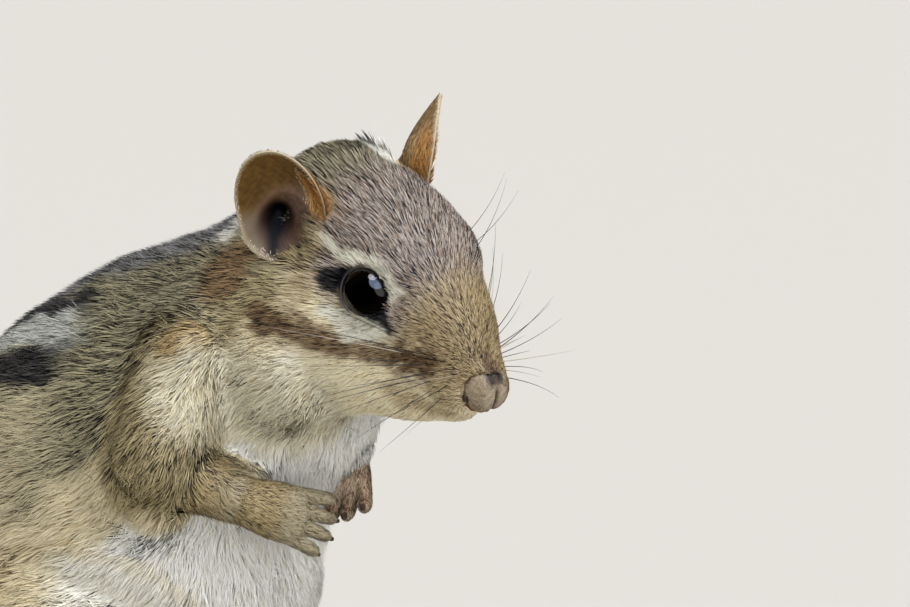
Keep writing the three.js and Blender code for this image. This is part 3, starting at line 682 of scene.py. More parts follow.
def finish(name, roughness, colour=None, attribute=None, sheen=0.0, coat=0.0, specular=0.5):
    """A principled material; its colour is one value or the colours stored at the points."""
    made = bpy.data.materials.new(name)
    made.use_nodes = True
    nodes = made.node_tree.nodes
    shader = nodes["Principled BSDF"]
    shader.inputs["Roughness"].default_value = roughness
    shader.inputs["Sheen Weight"].default_value = sheen
    shader.inputs["Coat Weight"].default_value = coat
    shader.inputs["Specular IOR Level"].default_value = specular
    if colour is not None:
        shader.inputs["Base Color"].default_value = (*linear(np.array(colour)), 1)
    if attribute:
        stored = nodes.new("ShaderNodeAttribute")
        stored.attribute_name = attribute
        made.node_tree.links.new(stored.outputs["Color"], shader.inputs["Base Color"])
    return made


def grained(made, scale, depth, shade=0.0):
    """Fine bump on a finish, and a little unevenness in its colour where shade is given."""
    tree = made.node_tree
    shader = tree.nodes["Principled BSDF"]
    where = tree.nodes.new("ShaderNodeTexCoord")
    noise = tree.nodes.new("ShaderNodeTexNoise")
    noise.inputs["Scale"].default_value = scale
    noise.inputs["Detail"].default_value = 6
    tree.links.new(where.outputs["Object"], noise.inputs["Vector"])
    bump = tree.nodes.new("ShaderNodeBump")
    bump.inputs["Strength"].default_value = 0.6
    bump.inputs["Distance"].default_value = depth * METRE
    tree.links.new(noise.outputs["Fac"], bump.inputs["Height"])
    tree.links.new(bump.outputs["Normal"], shader.inputs["Normal"])
    if shade:
        source = shader.inputs["Base Color"].links[0].from_socket
        mix = tree.nodes.new("ShaderNodeMix")
        mix.data_type = "RGBA"
        mix.blend_type = "MULTIPLY"
        mix.inputs["Factor"].default_value = shade
        tree.links.new(source, mix.inputs["A"])
        tree.links.new(noise.outputs["Color"], mix.inputs["B"])
        tree.links.new(mix.outputs["Result"], shader.inputs["Base Color"])
    return made


HAIR = finish("hair", 0.62, attribute="coat", specular=0.35)
SKIN = grained(finish("skin_under_coat", 0.8, attribute="coat"), 2400, 0.2, 0.4)
BARE = grained(finish("bare_skin", 0.6, attribute="coat", specular=0.2), 3200, 0.12, 0.25)
WET = grained(finish("nose_leather", 0.42, attribute="coat"), 4200, 0.1, 0.3)
EYE = finish("dark_eye", 0.04, attribute="coat", specular=0.5)
CLAW = grained(finish("claw_horn", 0.35, attribute="coat"), 1500, 0.05)
WHISKER = finish("whisker", 0.3, attribute="coat")


# Hair

# A hair is a slim closed wedge: root, left, right and tip.
CORNERS = np.array([(0, 2, 1), (1, 2, 3), (0, 1, 3), (0, 3, 2)])


class Ground:
    """A skin that hair stands on."""

    def __init__(self, points, faces):
        self.points = points
        self.faces = triangles_of(faces)
        self.normals = normals_of(points, faces)
        self.tree = BVHTree.FromPolygons(points.tolist(), faces.tolist())

    def scatter(self, density, rng):
        """Random roots, density of them to a square millimetre at each face."""
        a, b, c = (self.points[self.faces[:, i]] for i in range(3))
        area = np.linalg.norm(np.cross(b - a, c - a), axis=1) / 2
        weight = area * density((a + b + c) / 3)
        count = int(weight.sum())
        face = rng.choice(len(weight), count, p=weight / weight.sum())
        u = rng.random((count, 2))
        flip = u.sum(1) > 1
        u[flip] = 1 - u[flip]
        share = np.stack([1 - u.sum(1), u[:, 0], u[:, 1]], 1)
        corners = self.faces[face]
        points = np.einsum("ij,ijk->ik", share, self.points[corners])
        normals = unit(np.einsum("ij,ijk->ik", share, self.normals[corners]))
        return points, normals

    def lay(self, points):
        """The nearest places on the skin, and the way out there."""
        feet = np.empty_like(points)
        out = np.empty_like(points)
        for i, point in enumerate(points.tolist()):
            foot, normal, _, _ = self.tree.find_nearest(point)
            feet[i] = foot
            out[i] = normal
        return feet, out


def flat_on(way, normals):
    return unit(way - dots(way, normals)[:, None] * normals)


def hair_colours(paint, rng):
    """Root, middle and tip colours: most hairs one shade, some pale and some dark; roots darker, partly grey
    underfur and partly painted shade deep in the coat.
    """
    body, pale, dark = paint.parts
    share_pale, share_dark = paint.shares
    draw = rng.random(len(body))
    middle = body.copy()
    is_dark = draw < share_dark
    is_pale = draw > 1 - share_pale
    middle[is_dark] = dark[is_dark]
    middle[is_pale] = 0.35 * body[is_pale] + 0.65 * pale[is_pale]
    middle *= rng.uniform(0.9, 1.1, (len(body), 1))
    # Roots darkened, least under pale coat: partly underfur colour, partly painted shade deep in the coat.
    deep = 0.38 + 0.6 * rise(0.42, 0.82, body.mean(1))[:, None]
    root = deep * body
    tip = 0.5 * middle + 0.5 * pale
    tip[is_dark] = 0.75 * dark[is_dark] + 0.25 * body[is_dark]
    return root, middle, tip


def drawn_together(rows, size, pull):
    """Hairs bent a little toward the nearest of a few leaders, so that they lie in tufts."""
    leaders = rows[::size]
    tree = KDTree(len(leaders))
    for i, place in enumerate(leaders[:, 1:3].mean(1).tolist()):
        tree.insert(place, i)
    tree.balance()
    nearest = [tree.find(place)[1] for place in rows[:, 1:3].mean(1).tolist()]
    lean = leaders[nearest, 3] - rows[:, 3]
    far = np.linalg.norm(lean, axis=1)[:, None]
    lean *= pull * rise(2.4, 0.8, far)
    rows[:, 3] += lean
    rows[:, 1:3] += 0.35 * lean[:, None]
    return rows


def wedges(root, middle, tip, out, wide):
    """Closed wedges through those joints, their middles always above the line from root to tip."""
    sag = dots((root + tip) / 2 - middle, out) + 0.25 * wide
    middle = middle + out * np.maximum(sag, 0)[:, None]
    across = unit(np.cross(tip - root, out)) * wide[:, None] / 2
    return np.stack([root, middle - across, middle + across, tip], 1)


def hairs(root, normals, way, ground, length, width, depth, rng, low=0.45, high=0.95):
    """Hairs that lie along way over the ground, and the way out at each."""
    half = 0.5 * length[:, None]
    middle, out = ground.lay(root + way * half)
    tip, out2 = ground.lay(middle + flat_on(way, out) * half)
    lift = rng.uniform(0.7, 1.2, len(root))
    middle = middle + out * (low * depth * lift)[:, None]
    tip = tip + out2 * (high * depth * lift)[:, None]
    return wedges(root - normals * 0.15, middle, tip, out, width), out


def unwrap(points, line, up):
    """Places on a cylinder unrolled from round a line: along it, and round from up."""
    station, place, way, _ = nearest_on(line, points)
    off = points - place
    upward = unit(up - np.einsum("ij,j->i", way, up)[:, None] * way)
    sideways = np.cross(way, upward)
    around = np.arctan2(dots(off, sideways), dots(off, upward))
    ahead = dots(off, way)
    return np.stack([station + 0.02 * ahead, around], 1)


def fill_square(places):
    low = places.min(0)
    high = places.max(0)
    return 0.01 + 0.98 * (places - low) / np.maximum(high - low, 1e-6)


PATCH = 0.003
PATCH_SHAPE = np.array([(0, -0.5), (-0.5, 0), (0.5, 0), (0, 0.5)]) * PATCH
ROUND = 0.45


def hair_piece(name, rows, out, colours, places):
    """Joins hairs in one object, shaded softly as one surface, with its map of places on the skin."""
    count = len(rows)
    points = rows.reshape(-1, 3)
    faces = (np.arange(count)[:, None, None] * 4 + CORNERS).reshape(-1, 3)
    root, middle, tip = colours
    shades = np.stack([root, middle, middle, tip], 1).reshape(-1, 3)
    thing = piece(name, points, faces, HAIR, shades)
    side = unit(rows[:, 2] - rows[:, 1]) * ROUND
    above = unit(np.stack([out, out - side, out + side, out], 1))
    below = unit(np.stack([-out, -out - side, -out + side, -out], 1))
    soft = np.concatenate([above[:, CORNERS[:2].ravel()], below[:, CORNERS[2:].ravel()]], 1)
    thing.data.normals_split_custom_set(soft.reshape(-1, 3).astype(np.float32))
    chart = thing.data.uv_layers.new(name="OFBake")
    spots = (fill_square(places)[:, None] + PATCH_SHAPE).reshape(-1, 2)
    chart.data.foreach_set("uv", np.clip(spots[faces.ravel()], 0, 1).astype(np.float32).ravel())


def split_pieces(name, rows, out, colours, places):
    """Hair in as many pieces as keep each under its budget, cut along the skin."""
    parts = math.ceil(len(rows) / HAIR_BUDGET)
    order = np.argsort(places[:, 0])
    for i, chosen in enumerate(np.array_split(order, parts)):
        tail = f"_{i + 1}" if parts > 1 else ""
        picked = [shade[chosen] for shade in colours]
        hair_piece(name + tail, rows[chosen], out[chosen], picked, places[chosen])


# Ways at the eyes and ears


def eye_centre(s):
    return on_head((EYE_PLACE - EYE_SINK * unit(EYE_OUTWARD)) * (1, s, 1))


def eye_axes(s):
    """Outward, forward and upward at an eye, as rows."""
    outward_way = unit(EYE_OUTWARD * (1, s, 1)) @ HEAD.T
    forward = unit(HEAD[:, 0] - (HEAD[:, 0] @ outward_way) * outward_way)
    upward = np.cross(outward_way, forward)
    if upward @ HEAD[:, 2] < 0:
        upward = -upward
    return np.array([outward_way, forward, upward])


def ear_frame(s):
    """An ear's middle and its ways across, up and out, in the head's frame."""
    upward = unit(np.array((-0.36, s * 0.24, 0.9)))
    out = np.array((0.62, s * 0.72, 0.12))
    out = unit(out - (out @ upward) * upward)
    centre = np.array((-32.7, s * 11.6, 2.5)) + upward * EAR_HEIGHT * 0.42
    return centre, np.cross(upward, out), upward, out


def ear_width(s, angle):
    """Half the width of an ear's outline, fuller low down at the back."""
    up = np.sin(angle)
    behind = s * np.cos(angle) > 0
    low = np.where(behind, 1 + 0.8 * (up * np.cos(angle)) ** 2, 1 - 0.3 * up * up)
    return (EAR_WIDTH / 2) * np.where(up > 0, 1, low)


def ear_cup(s, back, r, angle):
    """A place on an ear: r from its middle to its rim, angle round it, back 0 inside to 1 outside."""
    centre, across, upward, out = ear_frame(s)
    over = r * np.cos(angle)
    tall = r * np.sin(angle)
    deep = EAR_CUP * (1 - r * r) * (1 - 0.3 * np.sin(angle) * r)
    wall = EAR_WALL * (1 - 0.55 * r)
    canal = np.exp(-(((over - 0.25 * s) / 0.26) ** 2) - ((tall + 0.36) / 0.22) ** 2)
    fold = np.exp(-(((np.hypot(over * 0.9, tall + 0.42) - 0.55) / 0.1) ** 2)) * rise(-0.5, -0.1, tall)
    deep = deep + (1 - back) * (2.6 * canal - 0.4 * fold * rise(1, 0.8, r)) + back * (wall + 2.6 * canal)
    place = (
        centre
        + np.outer(over * ear_width(s, angle), across)
        + np.outer(tall * EAR_HEIGHT / 2, upward)
        - np.outer(deep, out)
    )
    return on_head(place), over, tall, canal, fold


def hollow_for_ears(points):
    """Draws the skin in behind the open lower half of each ear's cup."""
    h = to_head(points)
    for s in (1, -1):
        centre, across, upward, out = ear_frame(s)
        off = h - centre
        over = off @ across
        tall = off @ upward / (EAR_HEIGHT / 2)
        ahead = off @ out
        angle = np.arctan2(tall, over / (EAR_WIDTH / 2))
        over = over / ear_width(s, angle)
        r = np.hypot(over, tall)
        inside = rise(1.02, 0.86, r) * rise(-0.72, -0.4, over * s) * (ahead > -8)
        depth = EAR_CUP * np.clip(1 - r * r, 0, 1) + EAR_WALL + 3.2
        h -= (inside * np.maximum(ahead + depth, 0))[:, None] * out
    return on_head(h)


# Skin of the head, trunk and limbs, with a ruff where each cheek meets its shoulder

RUFFS = {1: ((-31, 12.2, -13), (11.5, 6, 7.5)), -1: ((-31, 14, -14), (12.5, 7.4, 9))}
ARMPIT_PLACE = np.array((-55, 17.5, 47))
ARMPIT_RADII = np.array((13, 6.0, 14.5))
EYE_ROOM = 0.6
SKIN_ROUNDS = 14
BODY_ROUNDS = 150
COAT_SUNK = 0.8

FLESH = ["head", "neck", "chest", "belly", "hips"]
for side in ARMS:
    FLESH += [f"upper_arm_{side}", f"forearm_{side}", f"leg_{side}"]
lumps = [node_points(name, SEAL) for name in FLESH]
lumps += [node_points(f"eye_{side}", -EYE_ROOM) for side in ARMS]
for s in (1, -1):
    place, radii = RUFFS[s]
    lumps.append(sheet_ball(on_head(np.array(place) * (1, s, 1)), np.array(radii), HEAD.T)[:2])
    lumps.append(sheet_ball(ARMPIT_PLACE * (1, s, 1), ARMPIT_RADII, np.eye(3))[:2])
skin_points, skin_faces = remeshed(*joined(lumps), SKIN_VOXEL)
skin_edges = edges_of(skin_faces)
skin_points = relaxed(skin_points, skin_edges, SKIN_ROUNDS)
shares, stations, places, ways = region_shares(skin_points)
in_head = to_head(skin_points)
softer = rise(-17, -25, in_head[:, 0]) * rise(3, -3, in_head[:, 2])
softer = np.maximum(rise(0.9, 0.4, shares[NAMES.index("head")]), softer)[:, None] * 0.95
calm = relaxed(skin_points, skin_edges, BODY_ROUNDS, push=-0.51)
skin_points = skin_points + softer * (calm - skin_points)
inset = SEAL + blended("depth", shares, stations) * COAT_SUNK
skin_points = skin_points - normals_of(skin_points, skin_faces) * inset[:, None]
skin_points = relaxed(hollow_for_ears(skin_points), skin_edges, 4)
skin = Ground(skin_points, skin_faces)
skin_paint = coat_paint(skin_points, *region_shares(skin_points))
# The skin under the coat is painted darker, most under dark coat: painted shade beneath the hair; round the
# nose pad it is lifted nearly to its own colour.
under = 0.42 + 0.48 * rise(0.42, 0.82, skin_paint.parts[0].mean(1))[:, None]
under += at_nose(skin_points) * (0.95 - under)
piece("skin", skin_points, skin_faces, SKIN, skin_paint.parts[0] * under, FLESH)

# Coat over that skin, which leaves bare the lids, the front corners of the eyes and the nose pad

EYE_BARE = EYE_RADIUS + 0.25
EYE_CORNER_WAY = np.array((0.42, 0.66, -0.5))
CORNER_BARE = 1.5
NOSE_TIP = (-1.2, 0, -2.2)
NOSE_BARE = 2.7
TUFT_SIZE = 7
TUFT_PULL = 0.3


def body_density(points):
    shares, stations, _, _ = region_shares(points)
    density = blended("density", shares, stations)
    for s in (1, -1):
        eye = eye_centre(s)
        density *= far_from(points, eye) > EYE_BARE
        density *= far_from(points, eye + EYE_RADIUS * EYE_CORNER_WAY @ eye_axes(s)) > CORNER_BARE
    return density * (far_from(points, on_head(NOSE_TIP)) > NOSE_BARE)


rng = np.random.default_rng(7)
roots, root_normals = skin.scatter(body_density, rng)
shares, stations, places, ways = region_shares(roots)
lie = coat_lie(roots, root_normals, shares, ways)
loose = rise(0.8, 0.3, shares[NAMES.index("head")])[:, None]
lie += (0.14 + 0.12 * loose) * np.stack([ripple(roots, 6, s) for s in (21, 22, 23)], 1)
lie += (0.11 + 0.1 * loose) * rng.normal(size=roots.shape)
length = blended("length", shares, stations) * rng.uniform(0.7, 1.2, len(roots))
for s in (1, -1):
    clear = far_from(roots, eye_centre(s)) - EYE_RADIUS
    lie += unit(roots - eye_centre(s)) * (0.9 * rise(3.4, 0.4, clear))[:, None]
    length *= 0.4 + 0.6 * rise(0.2, 3.2, clear)
tuft = rise(3.4, 2.0, far_from(roots, on_head(TUFT)))
lie = flat_on(lie + tuft[:, None] * (HEAD[:, 2] + 0.8 * HEAD[:, 1]), root_normals)
length *= 1 + 0.2 * tuft
width = blended("width", shares, stations) * rng.uniform(0.75, 1.25, len(roots))
depth = blended("depth", shares, stations) * (1 + 1.1 * tuft)
rows, out = hairs(roots, root_normals, lie, skin, length, width, depth, rng)
out = unit(out + 1.6 * tuft[:, None] * np.array((0.3, -0.6, 1)))
rows = drawn_together(rows, TUFT_SIZE, TUFT_PULL)
keep_above(rows, BELLY_LOW)
owner = shares.argmax(0)
seen = rows[:, 1:].mean(1)
seen += np.minimum(1, 3 * tuft)[:, None] * (roots - seen)
paint = coat_paint(seen, *region_shares(seen))
colours = hair_colours(paint, rng)
# Round the nose pad the roots keep the middle's colour, without the painted root shade.
colours[0][:] += at_nose(roots) * (colours[1] - colours[0])
for number, name in enumerate(NAMES):
    mine = owner == number
    up = HEAD[:, 2] if name == "head" else UP + (0.3, 0, 0)
    spots = unwrap(roots[mine], REGIONS[name]["line"], up)
    if name in ("head", "trunk"):
        spots = spots[:, ::-1]
    split_pieces(f"coat_{name}", rows[mine], out[mine], [shade[mine] for shade in colours], spots)


# Eyes and lids


LID_OPENING = 60.0
LID_THICK = 0.32
LID_WIDE = 1.1


def lid_ring(s):
    """Both lids of an eye as one ring that hugs the ball, longest toward its front lower corner."""
    axes = eye_axes(s)
    centre = eye_centre(s)
    theta = circle(96)
    corner = math.radians(-36)
    back = math.radians(150)
    opening = LID_OPENING + 18 * np.exp(-((np.angle(np.exp(1j * (theta - corner))) / 0.33) ** 2))
    opening += 6 * np.exp(-((np.angle(np.exp(1j * (theta - back))) / 0.4) ** 2))
    below = 0.5 - 0.5 * np.sin(theta)
    sections = 10
    points = []
    for k in range(sections):
        phase = 2 * math.pi * k / sections
        spread = (0.5 - 0.5 * math.cos(phase)) * LID_WIDE
        height = 0.03 + LID_THICK * (math.sin(phase) * 0.5 + 0.2)
        polar = np.radians(opening) + spread / EYE_RADIUS
        radius = EYE_RADIUS + height - 0.12 * spread
        flat = np.sin(polar)
        local = np.stack([np.cos(polar), flat * np.cos(theta), flat * np.sin(theta)], 1)
        points.append(centre + (local * radius) @ axes)
    points = np.array(points).transpose(1, 0, 2).reshape(-1, 3)
    lit = np.outer(below, (0.40, 0.38, 0.42)) + np.outer(1 - below, (0.10, 0.08, 0.08))
    shades = np.repeat(lit, sections, axis=0)
    around = len(theta)
    faces = []
    for i in range(around):
        j = (i + 1) % around
        for k in range(sections):
            n = (k + 1) % sections
            a, b = i * sections + k, i * sections + n
            c, d = j * sections + n, j * sections + k
            faces += [(a, b, c), (a, c, d)]
    return points, outward(points, np.array(faces)), shades


def eyeball(s):
    points, faces, local = sheet_ball(eye_centre(s), EYE_RADIUS, eye_axes(s), 64, 48)
    off = np.hypot(local[:, 1], local[:, 2])
    iris = rise(0.42, 0.5, off) * rise(0.86, 0.72, off)
    shade = np.outer(iris, (0.06, 0.045, 0.045)) + np.outer(1 - iris, (0.03, 0.025, 0.03))
    return points, faces, shade


for s, side in SIDES:
    points, faces, shade = eyeball(s)
    piece(f"eyeball_{side}", points, faces, EYE, shade, [f"eye_{side}"])
    points, faces, shade = lid_ring(s)
    piece(f"eyelids_{side}", points, faces, BARE, shade)


# Nose pad

NOSTRIL = smooth_line(
    [(-2.2, 3.3, -2.5), (-2.2, 3.0, -3.5), (-1.7, 2.3, -4.3), (-1.1, 1.2, -4.9), (-0.7, 0, -4.9)], 40
)


def from_nostril(h):
    """How far each place of the nose is from the slit of the nostril on its side."""
    on_ball = NOSE_CENTRE + unit((h - NOSE_CENTRE) / NOSE_RADII) * NOSE_RADII
    folded = np.stack([on_ball[:, 0], np.abs(on_ball[:, 1]), on_ball[:, 2]], 1)
    return np.linalg.norm(folded[:, None] - NOSTRIL[None], axis=2).min(1)


def nose_pad():
    points, faces, local = sheet_ball((0, 0, 0), NOSE_RADII, np.eye(3), 96, 72)
    h = points + NOSE_CENTRE
    y = np.abs(h[:, 1])
    groove = np.exp(-((from_nostril(h) / 0.42) ** 2))
    midline = np.exp(-((y / 0.28) ** 2)) * rise(2.6, 1.6, np.abs(h[:, 2] + 2.4))
    puff = 0.2 * np.exp(-(((y - 1.6) / 1.1) ** 2))
    rough = 0.03 * ripple(points, 0.7, 31)
    move = -0.75 * groove - 0.4 * midline + puff + rough
    points = points + unit(points) * move[:, None]
    pad = rows_of((0.68, 0.62, 0.53), len(points))
    shade = toward(pad, rise(-3.2, -4.6, h[:, 2]), (0.52, 0.30, 0.26))
    shade = shade * (1 + 0.08 * ripple(points, 0.5, 32)[:, None])
    # Nostril slits dark red, their own colour with painted shade in the slit; the crease down the middle
    # darkened as painted shade.
    shade = toward(shade, groove, (0.22, 0.06, 0.05))
    shade = toward(shade, 0.75 * midline, (0.25, 0.18, 0.15))
    top = rise(-0.2, 0.7, h[:, 2]) * rise(1.7, 0.9, y)
    shade = toward(shade, 0.7 * top, (0.20, 0.15, 0.12))
    return on_head(points + NOSE_CENTRE), faces, shade


points, faces, shade = nose_pad()
piece("nose_pad", points, faces, WET, shade, ["nose"])


def nose_fuzz(ground, around):
    """Very short pale hair over the top and sides of the nose pad."""
    rng = np.random.default_rng(33)

    def upper(points):
        h = to_head(points) - NOSE_CENTRE
        y = np.abs(h[:, 1])
        bare = rise(-1.0, -2.2, h[:, 2]) * rise(0.2, 1.6, h[:, 0])
        clear = rise(0.35, 0.65, from_nostril(h + NOSE_CENTRE)) * rise(-2.7, -2.0, h[:, 2])
        return 60 * (1 - bare) * clear * rise(0.15, 0.5, y) * rise(2.4, 1.9, h[:, 0])

    roots, normals = ground.scatter(upper, rng)
    way = -HEAD[:, 0] + 0.5 * HEAD[:, 2] + 0.25 * rng.normal(size=roots.shape)
    behind = rise(0.2, -1.2, (to_head(roots) - NOSE_CENTRE)[:, 0])
    sizes = rng.uniform(0.5, 0.8, len(roots)) * (1 + 1.6 * behind)
    widths = rng.uniform(0.06, 0.09, len(roots))
    rows, out = hairs(roots, normals, flat_on(way, normals), around, sizes, widths, sizes * 0.25, rng)
    shade = rows_of((0.71, 0.64, 0.53), len(roots)) * rng.uniform(0.7, 1.15, (len(roots), 1))
    h = to_head(roots)
    shade *= 1 - 0.6 * (rise(-0.4, 0.5, h[:, 2]) * rise(1.5, 0.9, np.abs(h[:, 1])))[:, None]
    way_out = unit((h - NOSE_CENTRE) / NOSE_RADII)
    wide = np.maximum(np.hypot(way_out[:, 1], way_out[:, 2]), 1e-6)
    spots = way_out[:, 1:] * (np.arccos(np.clip(way_out[:, 0], -1, 1)) / wide)[:, None]
    # Roots darker than the middle: painted shade at the foot of the fuzz.
    hair_piece("coat_nose", rows, out, [0.8 * shade, shade, 1.1 * shade], spots)


nose_fuzz(
    Ground(points, faces),
    Ground(*joined([(points, triangles_of(faces)), (skin_points, triangles_of(skin_faces))])),
)


# Ears


def ear(s):
    rings = 22
    around = 84
    turns = circle(around)
    points = []
    shades = []
    for back in (0, 1):
        steps = np.concatenate([[0], np.repeat(np.linspace(0, 1, rings + 1)[1:], around)])
        angles = np.concatenate([[0], np.tile(turns, rings)])
        place, over, tall, canal, fold = ear_cup(s, back, steps, angles)
        points.append(place)
        warm = rows_of((0.43, 0.32, 0.16), len(place))
        inner = toward(warm, rise(0.35, -0.25, tall + 0.5 * over * s), (0.45, 0.36, 0.30))
        inner = inner * (1 + 0.1 * ripple(place, 1.1, 41)[:, None])
        inner = toward(inner, fold * 0.6, (0.56, 0.44, 0.38))
        lobe = rise(0.4, 0.7, over * s) * rise(0.1, -0.3, tall)
        inner = toward(inner, lobe, (0.60, 0.54, 0.46))
        # The bowl round the canal is darkened and the shaft and canal go near black: painted shade in the
        # hollow of the ear.
        shaft = np.exp(-(((over * s - 0.25 + 0.2 * tall) / 0.1) ** 2)) * rise(-0.3, -0.45, tall)
        bowl = np.exp(-(((over * s - 0.1) / 0.5) ** 2) - (((tall + 0.36) / 0.3) ** 2))
        inner = toward(inner, 0.6 * bowl, (0.32, 0.23, 0.19))
        dark = np.clip(1.2 * canal + 0.8 * shaft * rise(-0.95, -0.75, tall), 0, 1)
        inner = toward(inner, dark, (0.07, 0.04, 0.035))
        outer = rows_of((0.62, 0.50, 0.34), len(place))
        shades.append(toward(outer if back else inner, rise(0.93, 0.99, steps), (0.82, 0.76, 0.64)))
    size = 1 + rings * around
    edge = 1 + (rings - 1) * around
    s0 = np.arange(around)
    s1 = (s0 + 1) % around
    faces = []
    for base in (0, size):
        sheet = [fan(base, base + 1 + s0, base + 1 + s1)]
        for start in range(base + 1, base + edge, around):
            sheet += band(start, start + around, s0, s1)
        faces += [rows[:, ::-1] if base else rows for rows in sheet]
    faces += band(edge, size + edge, s0, s1)
    points = np.vstack(points)
    return points, outward(points, np.vstack(faces)), np.vstack(shades)


def ear_fuzz(s, side):
    """Short fine hair on the back of an ear, along its rim, and longest on its front edge."""
    rng = np.random.default_rng(45 + s)
    count = 12000
    r = np.sqrt(rng.random(count))
    angle = rng.uniform(0, 2 * math.pi, count)
    back = (rng.random(count) < 0.5).astype(float)
    over = s * r * np.cos(angle)
    tall = r * np.sin(angle)
    front = rise(-0.42, -0.7, over) * rise(-0.6, -0.3, tall) * rise(0.75, 0.3, tall)
    inside = np.maximum(0.7 * rise(0.9, 0.98, r), front)
    clear = np.hypot(over - 0.25, tall + 0.36) > 0.5
    kept = rng.random(count) < np.where(back > 0, 0.75 * clear, inside)
    r, angle, back, front = (row[kept] for row in (r, angle, back, front))
    here = ear_cup(s, back, r, angle)[0]
    rimward = unit(ear_cup(s, back, r + 0.05, angle)[0] - here)
    _, _, upward, out = (way @ HEAD.T for way in ear_frame(s))
    face = unit(flat_on(np.where(back > 0, -1, 1)[:, None] * out, rimward))
    way = flat_on(0.3 * rimward + 0.9 * upward + 0.2 * rng.normal(size=here.shape), face)
    past = rise(0.7, 0.97, r) * rise(0, 0.8, dots(rimward, way))
    length = (0.9 + 0.9 * front + 0.4 * back) * (1 - 0.72 * past) * rng.uniform(0.7, 1.2, len(r))
    lift = (0.1 + 0.35 * front) * rng.uniform(0.6, 1.4, len(r))
    middle = here + way * length[:, None] / 2 + face * (0.08 + 0.5 * lift)[:, None]
    tip = here + way * length[:, None] + face * lift[:, None]
    wide = (0.09 + 0.06 * front) * rng.uniform(0.8, 1.2, len(r))
    rows = wedges(here - face * 0.05, middle, tip, face, wide)
    pale = np.array((0.84, 0.80, 0.72))
    shade = toward(pale, np.maximum(front, back), (0.76, 0.64, 0.46))
    shade = toward(shade, front, (0.76, 0.57, 0.34))
    shade = toward(shade, rise(0.86, 0.97, r) * (1 - front), pale)
    shade = shade * rng.uniform(0.8, 1.15, (len(r), 1))
    spots = np.stack([angle, r + 1.1 * back], 1)
    # Roots darker than the middle: painted shade at the foot of the fuzz.
    hair_piece(f"coat_ear_{side}", rows, face, [0.7 * shade, shade, 1.1 * shade], spots)


for s, side in SIDES:
    points, faces, shade = ear(s)
    piece(f"ear_shell_{side}", points, faces, BARE, shade, [f"ear_{side}"])
    ear_fuzz(s, side)


# Hands and feet


def tapered(places, widths, heights, count=14):
    return smooth_line(np.column_stack([places, widths, heights]), count)


def digit(joint, stations, widths, heights, up):
    """A finger or toe, round, through four places."""
    return tube(tapered([joint(*at) for at in stations], widths, heights), up, 16)


def claw(joint, stations, middle, up):
    places = [joint(*at) for at in stations]
    return tube(tapered(places, [0.42, middle, 0.08], [0.5, 0.4, 0.08]), up, 10)


def hand_parts(side, forward, into):
    wrist, knuckles = (np.array(at, float) for at in ARMS[side][2:])
    across = unit(np.cross(forward, into))
    places = [wrist - forward * 2.5, (wrist + knuckles) / 2, knuckles]
    flesh = [tube(tapered(places, [3.0, 3.9, 3.9], [2.9, 2.7, 2.2]), into, 24)]
    claws = []
    for spread in (np.arange(4) - 1.5) / 3:
        root = knuckles + across * spread * 5.8 - forward * 0.6
        reach = 6.2 - 5 * spread * spread

        def joint(t, curl):
            return root + forward * t * reach + across * spread * t * 1.9 + into * curl

        stations = [(-0.2, 0), (0.3, -0.25), (0.65, -0.1), (0.95, 0.9)]
        flesh.append(digit(joint, stations, [1.15, 0.95, 0.85, 0.7], [1.2, 1.05, 0.95, 0.75], into))
        claws.append(claw(joint, [(0.9, 0.9), (1.1, 1.7), (1.08, 2.7)], 0.34, into))
    return flesh, claws


def foot_parts(side):
    heel, toes = (np.array(side_of(at, side), float) for at in (HEEL, TOES))
    forward = unit((toes - heel) * (1, 1, 0))
    across = np.cross(forward, UP)

    def along(t, z):
        place = heel + t * (toes - heel)
        place[2] = z
        return place

    places = [along(0, 3.6), along(0.3, 3.2), along(0.6, 2.6), along(0.85, 2.1)]
    flesh = [tube(tapered(places, [3.0, 3.5, 4.2, 4.3], [3.5, 3.2, 2.6, 2.0]), UP, 28)]
    claws = []
    for spread in (np.arange(5) - 2) / 4:
        reach = 8.6 - 9 * spread * spread
        root = along(0.8, 1.9) + across * spread * 7

        def joint(t, z):
            place = root + forward * t * reach + across * spread * t * 2.4
            place[2] = z
            return place

        stations = [(-0.1, 1.8), (0.45, 2.1), (0.75, 1.8), (1, 1.1)]
        flesh.append(digit(joint, stations, [1.4, 1.2, 1.1, 0.85], [1.4, 1.3, 1.15, 0.85], UP))
        claws.append(claw(joint, [(0.95, 1.5), (1.2, 1.3), (1.38, 0.5)], 0.36, UP))
    return flesh, claws


def paw_colours(points, normals, sole_way):
    """Tan above, darker skin on the pads."""
    top = np.array((0.50, 0.42, 0.31))
    shade = toward(top, rise(0.2, 0.7, normals @ sole_way), (0.64, 0.48, 0.40))
    return shade * (1 + 0.08 * ripple(points, 1.5, 51)[:, None])


def paw_coat(name, ground, forward, sole_way, length, density, seed, palm=0.0):
    """Fine short hair on the back of a hand or foot, running to the tips; palm is its share below."""
    rng = np.random.default_rng(seed)

    def top_only(points):
        feet, out = ground.lay(points)
        return density * np.maximum(rise(0.45, 0.1, out @ sole_way), palm)

    roots, normals = ground.scatter(top_only, rng)
    way = rows_of(forward, len(roots)) + 0.16 * rng.normal(size=roots.shape)
    way = flat_on(way, normals)
    sizes = length * rng.uniform(0.7, 1.2, len(roots))
    widths = 0.1 * rng.uniform(0.8, 1.2, len(roots))
    rows, out = hairs(roots, normals, way, ground, sizes, widths, 0.2 * sizes, rng)
    keep_above(rows, HAIR_LOW)
    paint = Paint(len(roots))
    paint.lay(np.ones(len(roots)), "paw")
    centre = roots.mean(0)
    wristward = rise(0, 3.5, (centre - roots) @ forward)
    paint.lay(wristward * 0.8, "shoulder")
    under = rise(0, 0.5, normals @ sole_way)
    paint.lay(under, "palm")
    line = np.array([centre - forward * 10, centre + forward * 10])
    spots = unwrap(roots, line, -sole_way)
    split_pieces(name, rows, out, hair_colours(paint, rng), spots)


